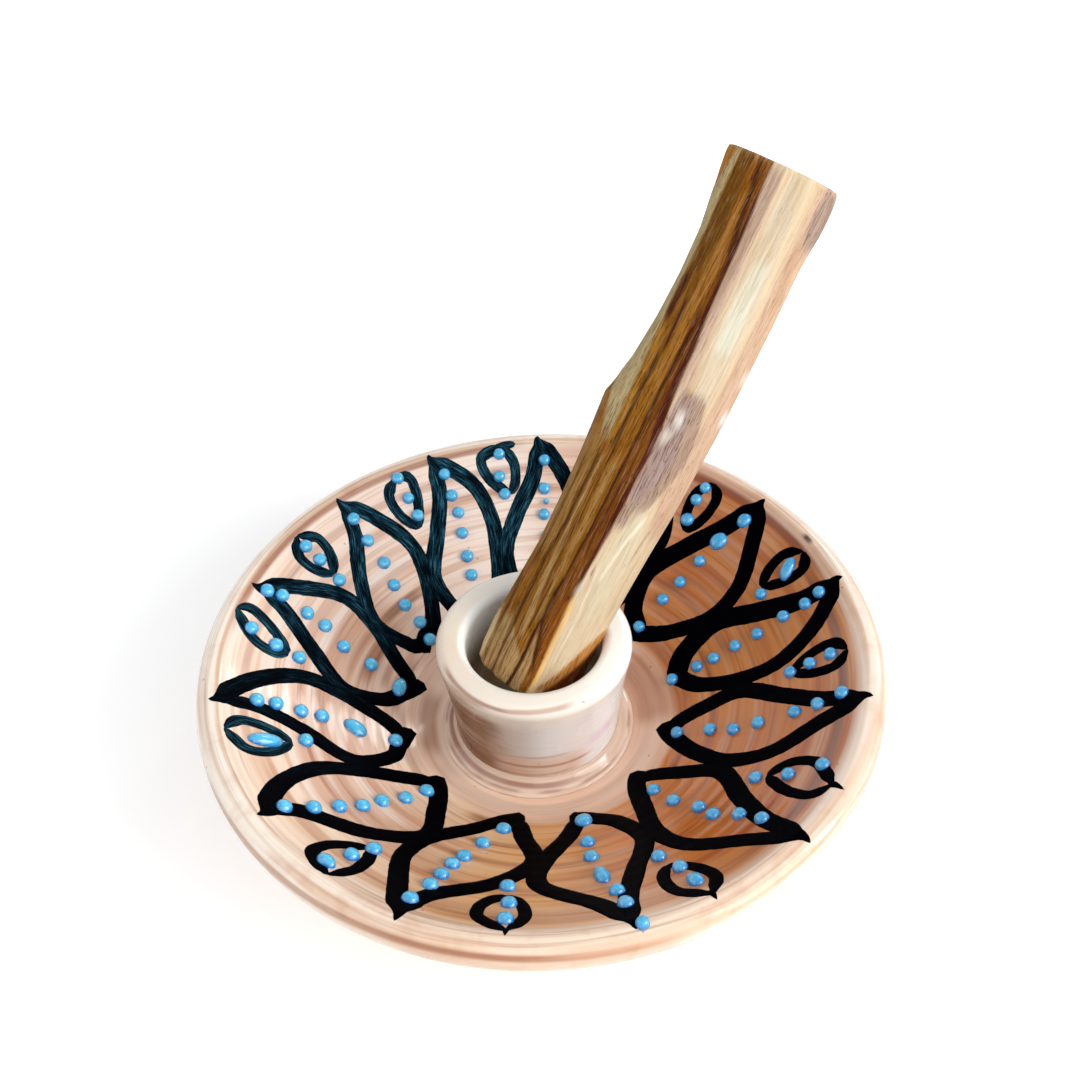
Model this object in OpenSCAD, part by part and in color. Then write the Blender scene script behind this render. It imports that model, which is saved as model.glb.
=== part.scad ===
// Palo santo holder.
// A thrown saucer carries a small cup that is luted to its floor. A split
// palo santo stick stands in the cup and leans over the cup's lip. Brushed
// enamel petals and buds ring the bowl, with rows of raised beads in them.
// Frame: millimetres, +Z up, origin on the table under the foot ring's centre.

/* [Stick] */
// Length of the stick along its own axis
stick_l = 101; // [70:0.5:140]
// Width across the two split faces
stick_w = 20; // [14:0.5:24]
// Thickness through the ridge between the split faces
stick_t = 13.5; // [10:0.5:16]
// Lean from upright
stick_lean = 37.5; // [25:0.5:42]
// Direction of the lean, counter-clockwise from +X
stick_turn = 41; // [0:1:359]
// Turn of the stick about its own axis
stick_spin = -58.5; // [-180:0.5:180]
// How far the stick's lower end stands off the cup's axis
seat_off = 4.4; // [2:0.1:5.5]
// Direction of that offset, counter-clockwise from +X
seat_turn = 247; // [0:1:359]
// Slant of the sawn lower end across the stick's width
end_slant = 0.12; // [0:0.01:0.3]

/* [Cup] */
// Height of the cup above the saucer's floor
cup_h = 24.2; // [20:0.2:40]
// Thickness of the rolled lip
cup_lip_t = 5.5; // [4.4:0.1:8]
// Height of the rolled lip
cup_lip_h = 4; // [2.5:0.1:4.2]
// Thickness of the cup's wall at its foot
cup_wall = 3.1; // [2.5:0.1:4.5]
// Play between the stick's lower end and the cup's wall
socket_play = 2.2; // [0.4:0.1:3]
// Gap left where the stick rests on the lip and on the socket's floor
rest_gap = 0.3; // [0.2:0.05:1]
// Rounding where the socket's wall meets its floor
socket_round = 2.5; // [1:0.25:5]
// How far the cup was luted off the saucer's centre
cup_off = 1; // [0:0.1:3]
// Direction of that shift, counter-clockwise from +X
cup_off_turn = 180; // [0:1:359]

/* [Luting fillet] */
// Reach of the smoothed clay out from the cup's foot
fillet_w = 3; // [1.5:0.1:5]
// Height of the smoothed clay up the cup's wall
fillet_h = 2.6; // [1.5:0.1:5]
// Radius of its hollow face
fillet_curve = 4; // [3.5:0.1:12]
// Thickness left at its two thin edges
fillet_edge = 0.3; // [0.2:0.05:0.6]
// Slip seam between the fillet and the cup's wall
slip_seam = 0.05; // [0.03:0.01:0.2]

/* [Saucer] */
// Diameter across the rolled rim
saucer_d = 125; // [110:1:180]
// Height of the rim's widest circle above the table
rim_z = 27.9; // [22:0.1:40]
// Radius of the rolled rim's round
rim_r = 3; // [2.7:0.1:4]
// Thickness of the saucer's wall and floor
wall_t = 5.2; // [4:0.1:5.6]
// Radius of the shallow curve of the bowl's side
bowl_curve = 220; // [140:5:600]
// Flat floor left showing outside the fillet
floor_show = 0.2; // [0.1:0.1:3]

/* [Foot ring] */
// Outer diameter of the foot ring
foot_d = 54; // [50:1:76]
// Width of the foot ring
foot_w = 6; // [3:0.5:8]
// Depth of the turned recess inside the foot ring
foot_h = 2.2; // [1.2:0.1:4]
// Small bevel on the foot ring's wiped edges
foot_ease = 0.7; // [0.2:0.1:1]

/* [Petals and buds] */
// Number of petals, and of buds between them
petal_n = 13; // [9:1:16]
// Direction of the first petal
petal_start = 10.5; // [0:0.5:359]
// How much closer together the petals were drawn at the back
petal_crowd = 7.6; // [0:0.1:10]
// Clear floor from the bowl's foot to a petal's root
petal_root = 4; // [2:0.5:8]
// Clear bowl from a petal's tip to the top of the bowl's side
petal_tip = 0.4; // [0.2:0.1:2]
// Width of a petal's brush line
line_w = 3.6; // [1.5:0.1:4.5]
// Length of a bud's outline
bud_l = 12; // [11:0.5:14]
// Width of a bud's outline
bud_w = 6.6; // [6:0.2:7.4]
// Width of a bud's brush line
bud_line_w = 1.7; // [1:0.1:2]
// Thickness of the enamel in a brush line
line_t = 0.15; // [0.08:0.01:0.4]
// Bare bowl that a bud's line keeps from the petals
bud_clear = 0.1; // [0.05:0.05:0.5]

/* [Beads] */
// Beads along each petal
petal_bead_n = 7; // [3:1:7]
// Clear bowl from its foot to the first bead of a petal
petal_bead_in = 8.5; // [6:0.5:14]
// Clear bowl from the last bead of a petal to the rim's round
petal_bead_out = 2.5; // [1.5:0.5:8]
// Beads in each bud
bud_bead_n = 3; // [1:1:3]
// Clear bowl from the outer bead of a bud to the rim's round
bud_bead_out = 1.2; // [0.8:0.1:3]
// Spacing of the beads in a bud
bud_bead_gap = 3.8; // [3.4:0.1:4.2]
// Radius of a bead's base
bead_r = 1.45; // [0.8:0.05:1.6]
// Height of a bead
bead_h = 1.2; // [0.5:0.05:1.4]
// Clear glaze under the beads and lines
glaze_t = 0.1; // [0.05:0.01:0.2]
// Bare ring that the brush leaves round a bead
bead_ring = 0.1; // [0.05:0.05:0.4]

/* [Hidden] */
$fn = 96;
function between(a, b, s) = a + (b - a) * s;
function reach(p) = norm([p[0], p[1]]);

// Outline of the stick's section as shares of half its width and thickness,
// from the ridge between the two split faces round by the right edge.
section = [[0.08, -1], [0.5, -0.8], [0.86, -0.46], [1, -0.02], [0.87, 0.41], [0.48, 0.77], [0.02, 0.98],
    [-0.42, 0.9], [-0.82, 0.52], [-1, 0.05], [-0.9, -0.4], [-0.5, -0.76]];
// Stations along the stick, with a step where a splinter came away.
stations = [0, 0.03, 0.08, 0.16, 0.25, 0.34, 0.42, 0.5, 0.545, 0.565, 0.62, 0.7, 0.78, 0.86, 0.93, 0.98, 1];
function left_share(t) = lookup(t, [[0, 1.06], [0.05, 1.12], [0.16, 1.04], [0.28, 0.95], [0.42, 0.99],
    [0.545, 1.07], [0.565, 1.01], [0.62, 0.89], [0.72, 0.79], [0.83, 0.77], [0.93, 0.87], [1, 0.95]]);
function right_share(t) = lookup(t, [[0, 0.84], [0.15, 0.85], [0.3, 0.92], [0.42, 1.01], [0.6, 1.06],
    [0.8, 1.05], [0.95, 1], [1, 0.93]]);
function front_share(t) = lookup(t, [[0, 0.92], [0.3, 1], [0.7, 0.94], [1, 0.88]]);
function back_share(t) = lookup(t, [[0, 0.98], [0.35, 1], [0.7, 0.96], [1, 0.9]]);
function side_x(f, t) = f * stick_w / 2 * (f < 0 ? left_share(t) : right_share(t));
function side_y(f, t) = f * stick_t / 2 * (f < 0 ? front_share(t) : back_share(t));
function stick_point(f, t) = let (x = side_x(f[0], t))
    [x, side_y(f[1], t), t * stick_l - (1 - t) * end_slant * x];

// A point of the stick at its lean, before it is lifted into its seat.
function spun(p) = [p[0] * cos(stick_spin) - p[1] * sin(stick_spin),
    p[0] * sin(stick_spin) + p[1] * cos(stick_spin), p[2]];
function leant(p) = [p[0] * cos(stick_lean) + p[2] * sin(stick_lean), p[1],
    p[2] * cos(stick_lean) - p[0] * sin(stick_lean)];
function turned(p) = [p[0] * cos(stick_turn) - p[1] * sin(stick_turn),
    p[0] * sin(stick_turn) + p[1] * cos(stick_turn), p[2]];
seat_at = [seat_off * cos(seat_turn), seat_off * sin(seat_turn), 0];
function set_point(f, t) = turned(leant(spun(stick_point(f, t)))) + seat_at;

// The socket is as wide as the stick's lower end reaches, plus the play, and
// the cup, its fillet and the saucer's flat floor follow from the socket.
bore_r = max([for (f = section) reach(set_point(f, 0))]) + socket_play;
cup_r = bore_r + cup_lip_t;
cup_foot_r = bore_r + cup_wall;
lip_round = cup_lip_h / 2;
fillet_r = cup_foot_r + fillet_w;
floor_r = fillet_r + cup_off + floor_show;
floor_z = foot_h + wall_t;
cup_at = [cup_off * cos(cup_off_turn), cup_off * sin(cup_off_turn), 0];
cup_top = floor_z + cup_h;
lip_z = cup_top - lip_round;
neck_r = cup_r - lip_round * 0.3;

// The stick is lifted until every point over the lip clears it by the rest
// gap, and the socket's floor comes up to the same gap under its lowest point.
lip_in = bore_r + lip_round;
lip_out = cup_r - lip_round;
lip_clear = lip_round + rest_gap;
function past_lip(r) = max(lip_in - r, r - lip_out, 0);
function over_lip(r) = lip_z + sqrt(lip_clear * lip_clear - pow(past_lip(r), 2));
side_points = [for (i = [0:len(section) - 1], s = [0, 0.34, 0.67], t = [0:0.01:0.6])
    set_point(between(section[i], section[(i + 1) % len(section)], s), t)];
stick_z = max([for (p = side_points) if (past_lip(reach(p)) < lip_clear) over_lip(reach(p)) - p[2]]);
socket_z = stick_z + min([for (f = section) set_point(f, 0)[2]]) - rest_gap;

// The bowl's side is an arc from the flat floor to the rim's round.
rim_c = saucer_d / 2 - rim_r;
bowl_in = [floor_r, floor_z];
bowl_out = [rim_c - rim_r * 0.6, rim_z + rim_r * 0.8];
bowl_chord = norm(bowl_out - bowl_in);
bowl_slope = atan2(bowl_out[1] - bowl_in[1], bowl_out[0] - bowl_in[0]);
bowl_rise = sqrt(bowl_curve * bowl_curve - bowl_chord * bowl_chord / 4);
bowl_c = (bowl_in + bowl_out) / 2 + bowl_rise * [-sin(bowl_slope), cos(bowl_slope)];
function bowl_z(r) = bowl_c[1] - sqrt(bowl_curve * bowl_curve - pow(r - bowl_c[0], 2));
function bowl_tilt(r) = asin((r - bowl_c[0]) / bowl_curve);
far_low = bowl_c + (bowl_in - [wall_t / 8, 0] - bowl_c) * 1.1;
far_in = bowl_c + (bowl_in - bowl_c) * 1.1;
far_out = bowl_c + (bowl_out - bowl_c) * 1.1;
foot_r = foot_d / 2;
foot_in = foot_r - foot_w;

// Petals crowd together smoothly towards the back, and their sides swell
// until neighbours meet.
function petal_turn(k) = petal_start + k * 360 / petal_n + petal_crowd * (cos(k * 360 / petal_n) - 1);
root_r = floor_r + petal_root;
tip_r = bowl_out[0] - petal_tip;
mid_r = (root_r + tip_r) / 2;
function petal_side(k) = mid_r * tan((petal_turn(k + 1) - petal_turn(k)) / 2);
function arc_r(l, s) = (l * l / 4 + s * s) / (2 * s);
bead_from = floor_r + petal_bead_in;
bead_to = rim_c - rim_r - petal_bead_out;
function petal_bead_at(j) = between(bead_from, bead_to, j / max(1, petal_bead_n - 1));
function bud_bead_at(j) = rim_c - rim_r - bud_bead_out - j * bud_bead_gap;
dome_r = (bead_r * bead_r + bead_h * bead_h) / (2 * bead_h);

module saucer_section() {
    intersection() {
        translate(bowl_c) difference() {
            circle(r = bowl_curve + wall_t, $fn = 360);
            circle(r = bowl_curve, $fn = 360);
        }
        polygon([bowl_c, far_low, far_out]);
    }
    translate([rim_c, rim_z]) circle(r = rim_r);
    polygon([[0, foot_h], [foot_in, foot_h], [foot_in, foot_ease], [foot_in + foot_ease, 0],
        [foot_r - foot_ease, 0], [foot_r, foot_ease], [foot_r, bowl_z(foot_r) - wall_t / 2],
        [floor_r + wall_t / 8, floor_z], [0, floor_z]]);
}

module saucer() {
    color([0.86, 0.7, 0.56]) rotate_extrude($fn = 180) saucer_section();
}

module cup_section() {
    difference() {
        union() {
            polygon([[0, floor_z], [cup_foot_r, floor_z], [neck_r, lip_z], [0, lip_z]]);
            translate([lip_in, lip_z]) circle(r = lip_round);
            translate([lip_out, lip_z]) circle(r = lip_round);
            translate([lip_in, lip_z - lip_round]) square([lip_out - lip_in, cup_lip_h]);
        }
        translate([-cup_wall, socket_z + socket_round]) square([bore_r + cup_wall, cup_h]);
        translate([-cup_wall, socket_z]) square([bore_r + cup_wall - socket_round, cup_h]);
        translate([bore_r - socket_round, socket_z + socket_round]) circle(r = socket_round);
        translate([-bore_r, 0]) square([bore_r, 2 * cup_top]);
    }
}

module cup() {
    color([0.93, 0.86, 0.77]) translate(cup_at) rotate_extrude($fn = 120) cup_section();
}

module luting_fillet() {
    foot_at = cup_foot_r + slip_seam;
    top_at = foot_at + (neck_r - cup_foot_r) * fillet_h / (lip_z - floor_z);
    top = [top_at + fillet_edge, floor_z + fillet_h];
    toe = [fillet_r, floor_z + fillet_edge];
    chord = norm(toe - top);
    face = (top + toe) / 2 + sqrt(fillet_curve * fillet_curve - chord * chord / 4)
        * [top[1] - toe[1], toe[0] - top[0]] / chord;
    color([0.72, 0.52, 0.36]) translate(cup_at) rotate_extrude($fn = 120) difference() {
        polygon([[foot_at, floor_z], [fillet_r, floor_z], toe, top, [top_at, floor_z + fillet_h]]);
        translate(face) circle(r = fillet_curve);
    }
}

module stick_local() {
    n = len(section);
    m = len(stations);
    points = [for (t = stations, f = section) stick_point(f, t)];
    sides = [for (i = [0:m - 2], j = [0:n - 1], h = [0, 1]) let (a = i * n + j, b = i * n + (j + 1) % n)
        h == 0 ? [a, b + n, b] : [a, a + n, b + n]];
    low_end = [for (j = [1:n - 2]) [0, j, j + 1]];
    high_end = [for (j = [1:n - 2]) [(m - 1) * n, (m - 1) * n + j + 1, (m - 1) * n + j]];
    polyhedron(points = points, faces = concat(sides, low_end, high_end), convexity = 4);
}

module palo_santo_stick() {
    color([0.76, 0.62, 0.4]) translate(cup_at + seat_at + [0, 0, stick_z])
        rotate([0, stick_lean, stick_turn]) rotate([0, 0, stick_spin]) stick_local();
}

// The skin of enamel that every brush line is cut from.
module line_skin() {
    rotate_extrude($fn = 180) intersection() {
        translate(bowl_c) difference() {
            circle(r = bowl_curve - glaze_t, $fn = 360);
            circle(r = bowl_curve - glaze_t - line_t, $fn = 360);
        }
        polygon([bowl_c, far_in, far_out]);
    }
}

// An almond along +X that swells left and right of its middle line.
module almond(from, to, left, right) {
    l = to - from;
    intersection() {
        translate([(from + to) / 2, left - arc_r(l, left)]) circle(r = arc_r(l, left));
        translate([(from + to) / 2, arc_r(l, right) - right]) circle(r = arc_r(l, right));
    }
}

module brushed_outline(from, to, left, right, w) {
    linear_extrude(height = rim_z + rim_r) difference() {
        almond(from, to, left, right);
        almond(from + 1.3 * w, to - 1.3 * w, left - w, right - w);
    }
}

module bead_hole(r) {
    translate([r, 0, 0]) cylinder(r = bead_r + bead_ring, h = rim_z + rim_r, $fn = 40);
}

module petal_lines() {
    color([0.06, 0.06, 0.09]) difference() {
        intersection() {
            line_skin();
            for (k = [0:petal_n - 1]) rotate([0, 0, petal_turn(k)])
                brushed_outline(root_r, tip_r, petal_side(k), petal_side(k - 1), line_w);
        }
        for (k = [0:petal_n - 1], j = [0:petal_bead_n - 1]) rotate([0, 0, petal_turn(k)])
            bead_hole(petal_bead_at(j));
    }
}

module bud_lines() {
    color([0.06, 0.06, 0.09]) difference() {
        intersection() {
            line_skin();
            for (k = [0:petal_n - 1]) rotate([0, 0, petal_turn(k + 0.5)])
                brushed_outline(tip_r - bud_l, tip_r, bud_w / 2, bud_w / 2, bud_line_w);
        }
        for (k = [0:petal_n - 1], j = [0:bud_bead_n - 1]) rotate([0, 0, petal_turn(k + 0.5)])
            bead_hole(bud_bead_at(j));
        for (k = [0:petal_n - 1]) rotate([0, 0, petal_turn(k)]) linear_extrude(height = rim_z + rim_r)
            almond(root_r, tip_r, petal_side(k) + bud_clear, petal_side(k - 1) + bud_clear);
    }
}

module bead(r, turn) {
    translate([r * cos(turn), r * sin(turn), bowl_z(r)]) rotate([0, -bowl_tilt(r), turn])
        translate([0, 0, glaze_t]) intersection() {
            translate([0, 0, bead_h - dome_r]) sphere(r = dome_r, $fn = 40);
            translate([-2 * dome_r, -2 * dome_r, 0]) cube([4 * dome_r, 4 * dome_r, 2 * bead_h]);
        }
}

module petal_beads() {
    color([0.32, 0.64, 0.88]) for (k = [0:petal_n - 1], j = [0:petal_bead_n - 1])
        bead(petal_bead_at(j), petal_turn(k));
}

module bud_beads() {
    color([0.36, 0.68, 0.9]) for (k = [0:petal_n - 1], j = [0:bud_bead_n - 1])
        bead(bud_bead_at(j), petal_turn(k + 0.5));
}

saucer();
cup();
luting_fillet();
palo_santo_stick();
petal_lines();
bud_lines();
petal_beads();
bud_beads();
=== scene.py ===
import math
import bpy
import numpy as np
from mathutils import Matrix, Vector, noise
from mathutils.bvhtree import BVHTree


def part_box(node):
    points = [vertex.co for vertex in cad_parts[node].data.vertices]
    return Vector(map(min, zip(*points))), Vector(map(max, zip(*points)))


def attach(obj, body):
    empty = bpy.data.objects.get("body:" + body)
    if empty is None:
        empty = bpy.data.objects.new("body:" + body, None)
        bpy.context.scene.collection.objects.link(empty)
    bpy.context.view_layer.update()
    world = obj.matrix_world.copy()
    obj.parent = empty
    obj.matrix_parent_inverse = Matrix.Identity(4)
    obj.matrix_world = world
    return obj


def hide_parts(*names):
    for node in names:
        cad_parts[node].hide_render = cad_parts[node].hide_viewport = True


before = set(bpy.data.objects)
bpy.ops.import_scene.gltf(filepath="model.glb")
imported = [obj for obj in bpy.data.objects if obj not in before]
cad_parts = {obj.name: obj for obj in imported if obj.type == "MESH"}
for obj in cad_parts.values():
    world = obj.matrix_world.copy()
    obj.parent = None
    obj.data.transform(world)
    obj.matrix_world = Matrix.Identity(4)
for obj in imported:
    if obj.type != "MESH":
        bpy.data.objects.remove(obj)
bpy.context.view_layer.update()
mm = 0.001  # sizes below are in millimetres, meshes in metres
scene = bpy.context.scene
scene.view_settings.view_transform = "Standard"
print("frame loaded")


# small helpers

def linear(red, green, blue):  # a colour as the eye reads it, 0 to 255
    parts = [c / 255 for c in (red, green, blue)]
    return tuple(c / 12.92 if c <= 0.04045 else ((c + 0.055) / 1.055) ** 2.4 for c in parts) + (1.0,)


def shadeOf(colour):  # the same as an array of three
    return np.array(linear(*colour)[:3])


def smooth(low, high, value):  # soft step of an array
    t = np.clip((value - low) / (high - low), 0, 1)
    return t * t * (3 - 2 * t)


def ease(low, high, value):  # soft step of one number
    t = min(1.0, max(0.0, (value - low) / (high - low)))
    return t * t * (3 - 2 * t)


def wave(*place):  # soft noise from -1 to 1
    return noise.noise(Vector((*place, 0, 0)[:3]))


def spread(start, end, count):
    return [start + (end - start) * i / count for i in range(count + 1)]


def arc(out, up, radius, start, end, count):  # part of a circle, in degrees
    bends = [math.radians(angle) for angle in spread(start, end, count)]
    return [(out + radius * math.cos(bend), up + radius * math.sin(bend)) for bend in bends]


def bandFaces(rows, around, first=0, flip=False, closed=False):  # quads between rings of points
    faces, total = [], rows * around
    for i in range(rows if closed else rows - 1):
        for k in range(around):
            a, b = i * around + k, i * around + (k + 1) % around
            quad = (a, a + around, b + around, b) if flip else (a, b, b + around, a + around)
            faces.append(tuple(first + n % total for n in quad))
    return faces


def spinPoints(profile, segments, shape):
    turns = [2 * math.pi * k / segments for k in range(segments)]
    return [Vector(shape(out, height, turn)) * mm for out, height in profile for turn in turns]


def spinMesh(profile, segments, shape):  # closed solid from a profile that starts and ends on the axis
    rows = profile[1:-1]
    points, faces = spinPoints(rows, segments, shape), bandFaces(len(rows), segments, flip=True)
    pole, start = len(points), len(points) - segments
    points += [Vector(shape(*profile[0], 0)) * mm, Vector(shape(*profile[-1], 0)) * mm]
    for k in range(segments):
        after = (k + 1) % segments
        faces += [(pole, k, after), (pole + 1, start + after, start + k)]
    return points, faces


def ringMesh(profile, segments, shape):  # closed ring that doesn't reach the axis
    return spinPoints(profile, segments, shape), bandFaces(len(profile), segments, closed=True)


def newPiece(name, points, faces, body, node, material):
    mesh = bpy.data.meshes.new(name)
    mesh.from_pydata([tuple(p) for p in points], [], faces)
    mesh.validate()
    mesh.shade_smooth()
    piece = bpy.data.objects.new(name, mesh)
    scene.collection.objects.link(piece)
    piece.data.materials.append(material)
    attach(piece, body)
    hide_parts(node)
    return piece


def addNote(piece, name, kind, values):  # a value on every point, read by the material
    note = piece.data.attributes.new(name, kind, "POINT")
    field = {"FLOAT_VECTOR": "vector", "FLOAT_COLOR": "color"}[kind]
    note.data.foreach_set(field, np.asarray(values, dtype=np.float32).ravel())


def cylindrical(points, centre=(0, 0)):  # distance out, degrees round and height, in mm
    spots = np.array([tuple(p) for p in points]) / mm - np.array((*centre, 0))
    return np.hypot(spots[:, 0], spots[:, 1]), np.degrees(np.arctan2(spots[:, 1], spots[:, 0])), spots[:, 2]


# shader helpers

def feed(tree, socket, value):  # a link or a fixed value
    if isinstance(value, bpy.types.NodeSocket):
        tree.links.new(value, socket)
    else:
        socket.default_value = value


def plug(tree, made, **values):
    for key, value in values.items():
        feed(tree, made.inputs[key.replace("_", " ")], value)


def addNode(tree, kind, settings=None, **inputs):
    made = tree.nodes.new("ShaderNode" + kind)
    for key, value in (settings or {}).items():
        setattr(made, key, value)
    plug(tree, made, **inputs)
    return made


def calc(tree, operation, *values, clamp=False):
    made = addNode(tree, "Math", {"operation": operation, "use_clamp": clamp})
    for socket, value in zip(made.inputs, values):
        feed(tree, socket, value)
    return made.outputs[0]


def times(tree, first, *others):
    for other in others:
        first = calc(tree, "MULTIPLY", first, other)
    return first


def onVector(tree, operation, *vectors, **inputs):
    made = addNode(tree, "VectorMath", {"operation": operation}, **inputs)
    for socket, vector in zip(made.inputs, vectors):
        feed(tree, socket, vector)
    return made


def splitUp(tree, vector):
    return addNode(tree, "SeparateXYZ", Vector=vector).outputs


def joinUp(tree, x, y, z=0.0):
    return addNode(tree, "CombineXYZ", X=x, Y=y, Z=z).outputs[0]


def fade(tree, value, low, high, toLow=0.0, toHigh=1.0):  # soft step
    made = addNode(tree, "MapRange", {"interpolation_type": "SMOOTHSTEP"}, Value=value, From_Min=low,
                   From_Max=high, To_Min=toLow, To_Max=toHigh)
    return made.outputs[0]


def tint(tree, amount, under, over, mode="MIX"):
    made = addNode(tree, "Mix", {"data_type": "RGBA", "blend_type": mode})
    for index, value in ((0, amount), (6, under), (7, over)):
        feed(tree, made.inputs[index], value)
    return made.outputs[2]


def cloud(tree, vector, scale, detail=2.0, roughness=0.5):
    made = addNode(tree, "TexNoise", Vector=vector, Scale=scale, Detail=detail, Roughness=roughness)
    return made.outputs["Fac"]


def readNote(tree, name):
    return addNode(tree, "Attribute", {"attribute_name": name}).outputs


def bumps(tree, height, strength, distance):
    return addNode(tree, "Bump", Height=height, Strength=strength, Distance=distance).outputs[0]


def newMaterial(name, look):  # also gives the look's colours for the nodes
    material = bpy.data.materials.new(name)
    material.use_nodes = True
    tree = material.node_tree
    tones = {key: linear(*value) for key, value in look.items()}
    return material, tree, tree.nodes["Principled BSDF"], tones


def newGroup(name, inputs, outputs):
    group = bpy.data.node_groups.new(name, "ShaderNodeTree")
    for label, kind, start in inputs:
        socket = group.interface.new_socket(label, in_out="INPUT", socket_type="NodeSocket" + kind)
        socket.default_value = start
    for label, kind in outputs:
        group.interface.new_socket(label, in_out="OUTPUT", socket_type="NodeSocket" + kind)
    return group, group.nodes.new("NodeGroupInput").outputs, group.nodes.new("NodeGroupOutput")


def useGroup(tree, group, **inputs):
    return addNode(tree, "Group", {"node_tree": group}, **inputs).outputs


# turned place on the pot: how far out in mm, how high in mm, and the direction as a unit vector
turnGroup, given, result = newGroup(
    "turnedPlace", [("Centre", "Vector", (0, 0, 0))],
    [("Out", "Float"), ("Height", "Float"), ("Side", "Vector"), ("Place", "Vector")])
spot = addNode(turnGroup, "TexCoord").outputs["Object"]
shifted = onVector(turnGroup, "SUBTRACT", spot, given["Centre"]).outputs[0]
inMm = onVector(turnGroup, "SCALE", shifted, Scale=1 / mm).outputs[0]
parts = splitUp(turnGroup, inMm)
flat = joinUp(turnGroup, parts["X"], parts["Y"])
plug(turnGroup, result, Out=onVector(turnGroup, "LENGTH", flat).outputs["Value"], Height=parts["Z"],
     Side=onVector(turnGroup, "NORMALIZE", flat).outputs[0], Place=inMm)

# brush streaks that run round the pot, finer across than along
washGroup, given, result = newGroup(
    "ringWash", [("Across", "Float", 0.0), ("Side", "Vector", (1, 0, 0)), ("Pitch", "Float", 2.0),
                 ("Drift", "Float", 1.5), ("Seed", "Float", 0.0), ("Low", "Float", 0.35),
                 ("High", "Float", 0.65)],
    [("Streak", "Float")])
rows = calc(washGroup, "ADD", calc(washGroup, "DIVIDE", given["Across"], given["Pitch"]), given["Seed"])
parts = splitUp(washGroup, onVector(washGroup, "SCALE", given["Side"], Scale=given["Drift"]).outputs[0])
streaks = cloud(washGroup, joinUp(washGroup, parts["X"], parts["Y"], rows), 1.0, 2.0, 0.45)
plug(washGroup, result, Streak=fade(washGroup, streaks, given["Low"], given["High"]))

# pits and iron specks of the glaze
speckGroup, given, result = newGroup(
    "glazeSkin", [("Place", "Vector", (0, 0, 0)), ("Speck", "Float", 0.06)],
    [("Mask", "Float"), ("Height", "Float"), ("Gloss", "Float")])
cells = addNode(speckGroup, "TexVoronoi", Vector=given["Place"], Scale=0.16).outputs["Distance"]
plug(speckGroup, result, Mask=fade(speckGroup, cells, given["Speck"], 0.02),
     Height=cloud(speckGroup, given["Place"], 0.9),
     Gloss=cloud(speckGroup, given["Place"], 0.12, 3.0, 0.6))


def streakWash(tree, across, side, pitch, drift, seed, low, high):
    return useGroup(tree, washGroup, Across=across, Side=side, Pitch=pitch, Drift=drift, Seed=seed, Low=low,
                    High=high)["Streak"]


print("shader groups made")


# saucer

saucerCut = {
    "rimHeight": 27.9, "rimRound": 3.0, "rimStart": 126.5, "rimMeet": 2.6,  # rolled rim
    "wall": 5.2, "bowlCurve": 220.0, "floorOut": 19.85, "floorHeight": 7.4,  # bowl
    "footOut": 27.0, "footIn": 21.0, "footDeep": 2.2, "footEase": 0.7,  # foot ring
    "ringHeight": 0.018, "ringPitch": 2.4, "ringsFrom": (21, 25), "ringsTo": (53, 56),  # throwing rings
    "grooveAt": 57.0, "grooveDeep": 0.05, "grooveWide": 0.8,  # groove under the rolled rim
    "rimSway": 0.14, "swayFrom": (40, 60), "segments": 320, "bowlSteps": 165,
    "underTone": (5, 17), "rimTone": (55.6, 58.8), "rimShare": 0.88,  # where the tones change
}
outside = (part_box("saucer")[1][0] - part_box("saucer")[0][0]) / 2 / mm
rimOut = outside - saucerCut["rimRound"]
bowlEnd = (rimOut - 0.6 * saucerCut["rimRound"], saucerCut["rimHeight"] + 0.8 * saucerCut["rimRound"])
bowlStart = (saucerCut["floorOut"], saucerCut["floorHeight"])
chord = math.hypot(bowlEnd[0] - bowlStart[0], bowlEnd[1] - bowlStart[1])
slope = math.atan2(bowlEnd[1] - bowlStart[1], bowlEnd[0] - bowlStart[0])
rise = math.sqrt(saucerCut["bowlCurve"] ** 2 - chord ** 2 / 4)
curveOut = (bowlStart[0] + bowlEnd[0]) / 2 - rise * math.sin(slope)
curveUp = (bowlStart[1] + bowlEnd[1]) / 2 + rise * math.cos(slope)


def bowlHeight(out, radius):
    return curveUp - math.sqrt(radius ** 2 - (out - curveOut) ** 2)


def underside(out):
    return bowlHeight(out, saucerCut["bowlCurve"] + saucerCut["wall"])


def skinHeight(out):  # top skin of the floor, bowl and rim
    if out <= bowlStart[0]:
        return bowlStart[1]
    if out <= bowlEnd[0]:
        return bowlHeight(out, saucerCut["bowlCurve"])
    return saucerCut["rimHeight"] + math.sqrt(max(0, saucerCut["rimRound"] ** 2 - (out - rimOut) ** 2))


def handThrown(out, height, turn, top):  # throwing rings, groove and a slight sway of the rim
    c = saucerCut
    if top:
        band = ease(*c["ringsFrom"], out) * (1 - ease(*c["ringsTo"], out))
        ripple = math.sin(2 * math.pi * out / c["ringPitch"] + 1.6 * math.sin(turn + 0.7))
        height += c["ringHeight"] * band * ripple
        height -= c["grooveDeep"] * math.exp(-((out - c["grooveAt"]) / c["grooveWide"]) ** 2)
    sway = ease(*c["swayFrom"], out) * c["rimSway"]
    height += sway * (math.sin(2 * turn + 0.5) + 0.6 * math.sin(5 * turn + 2) - 1.2)
    out += sway * 0.6 * (math.sin(3 * turn + 1) - 1)
    return out * math.cos(turn), out * math.sin(turn), height


def onBowl(degrees, out):  # a point of the bowl's skin, in mm
    return Vector(handThrown(out, skinHeight(out), math.radians(degrees), True))


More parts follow.
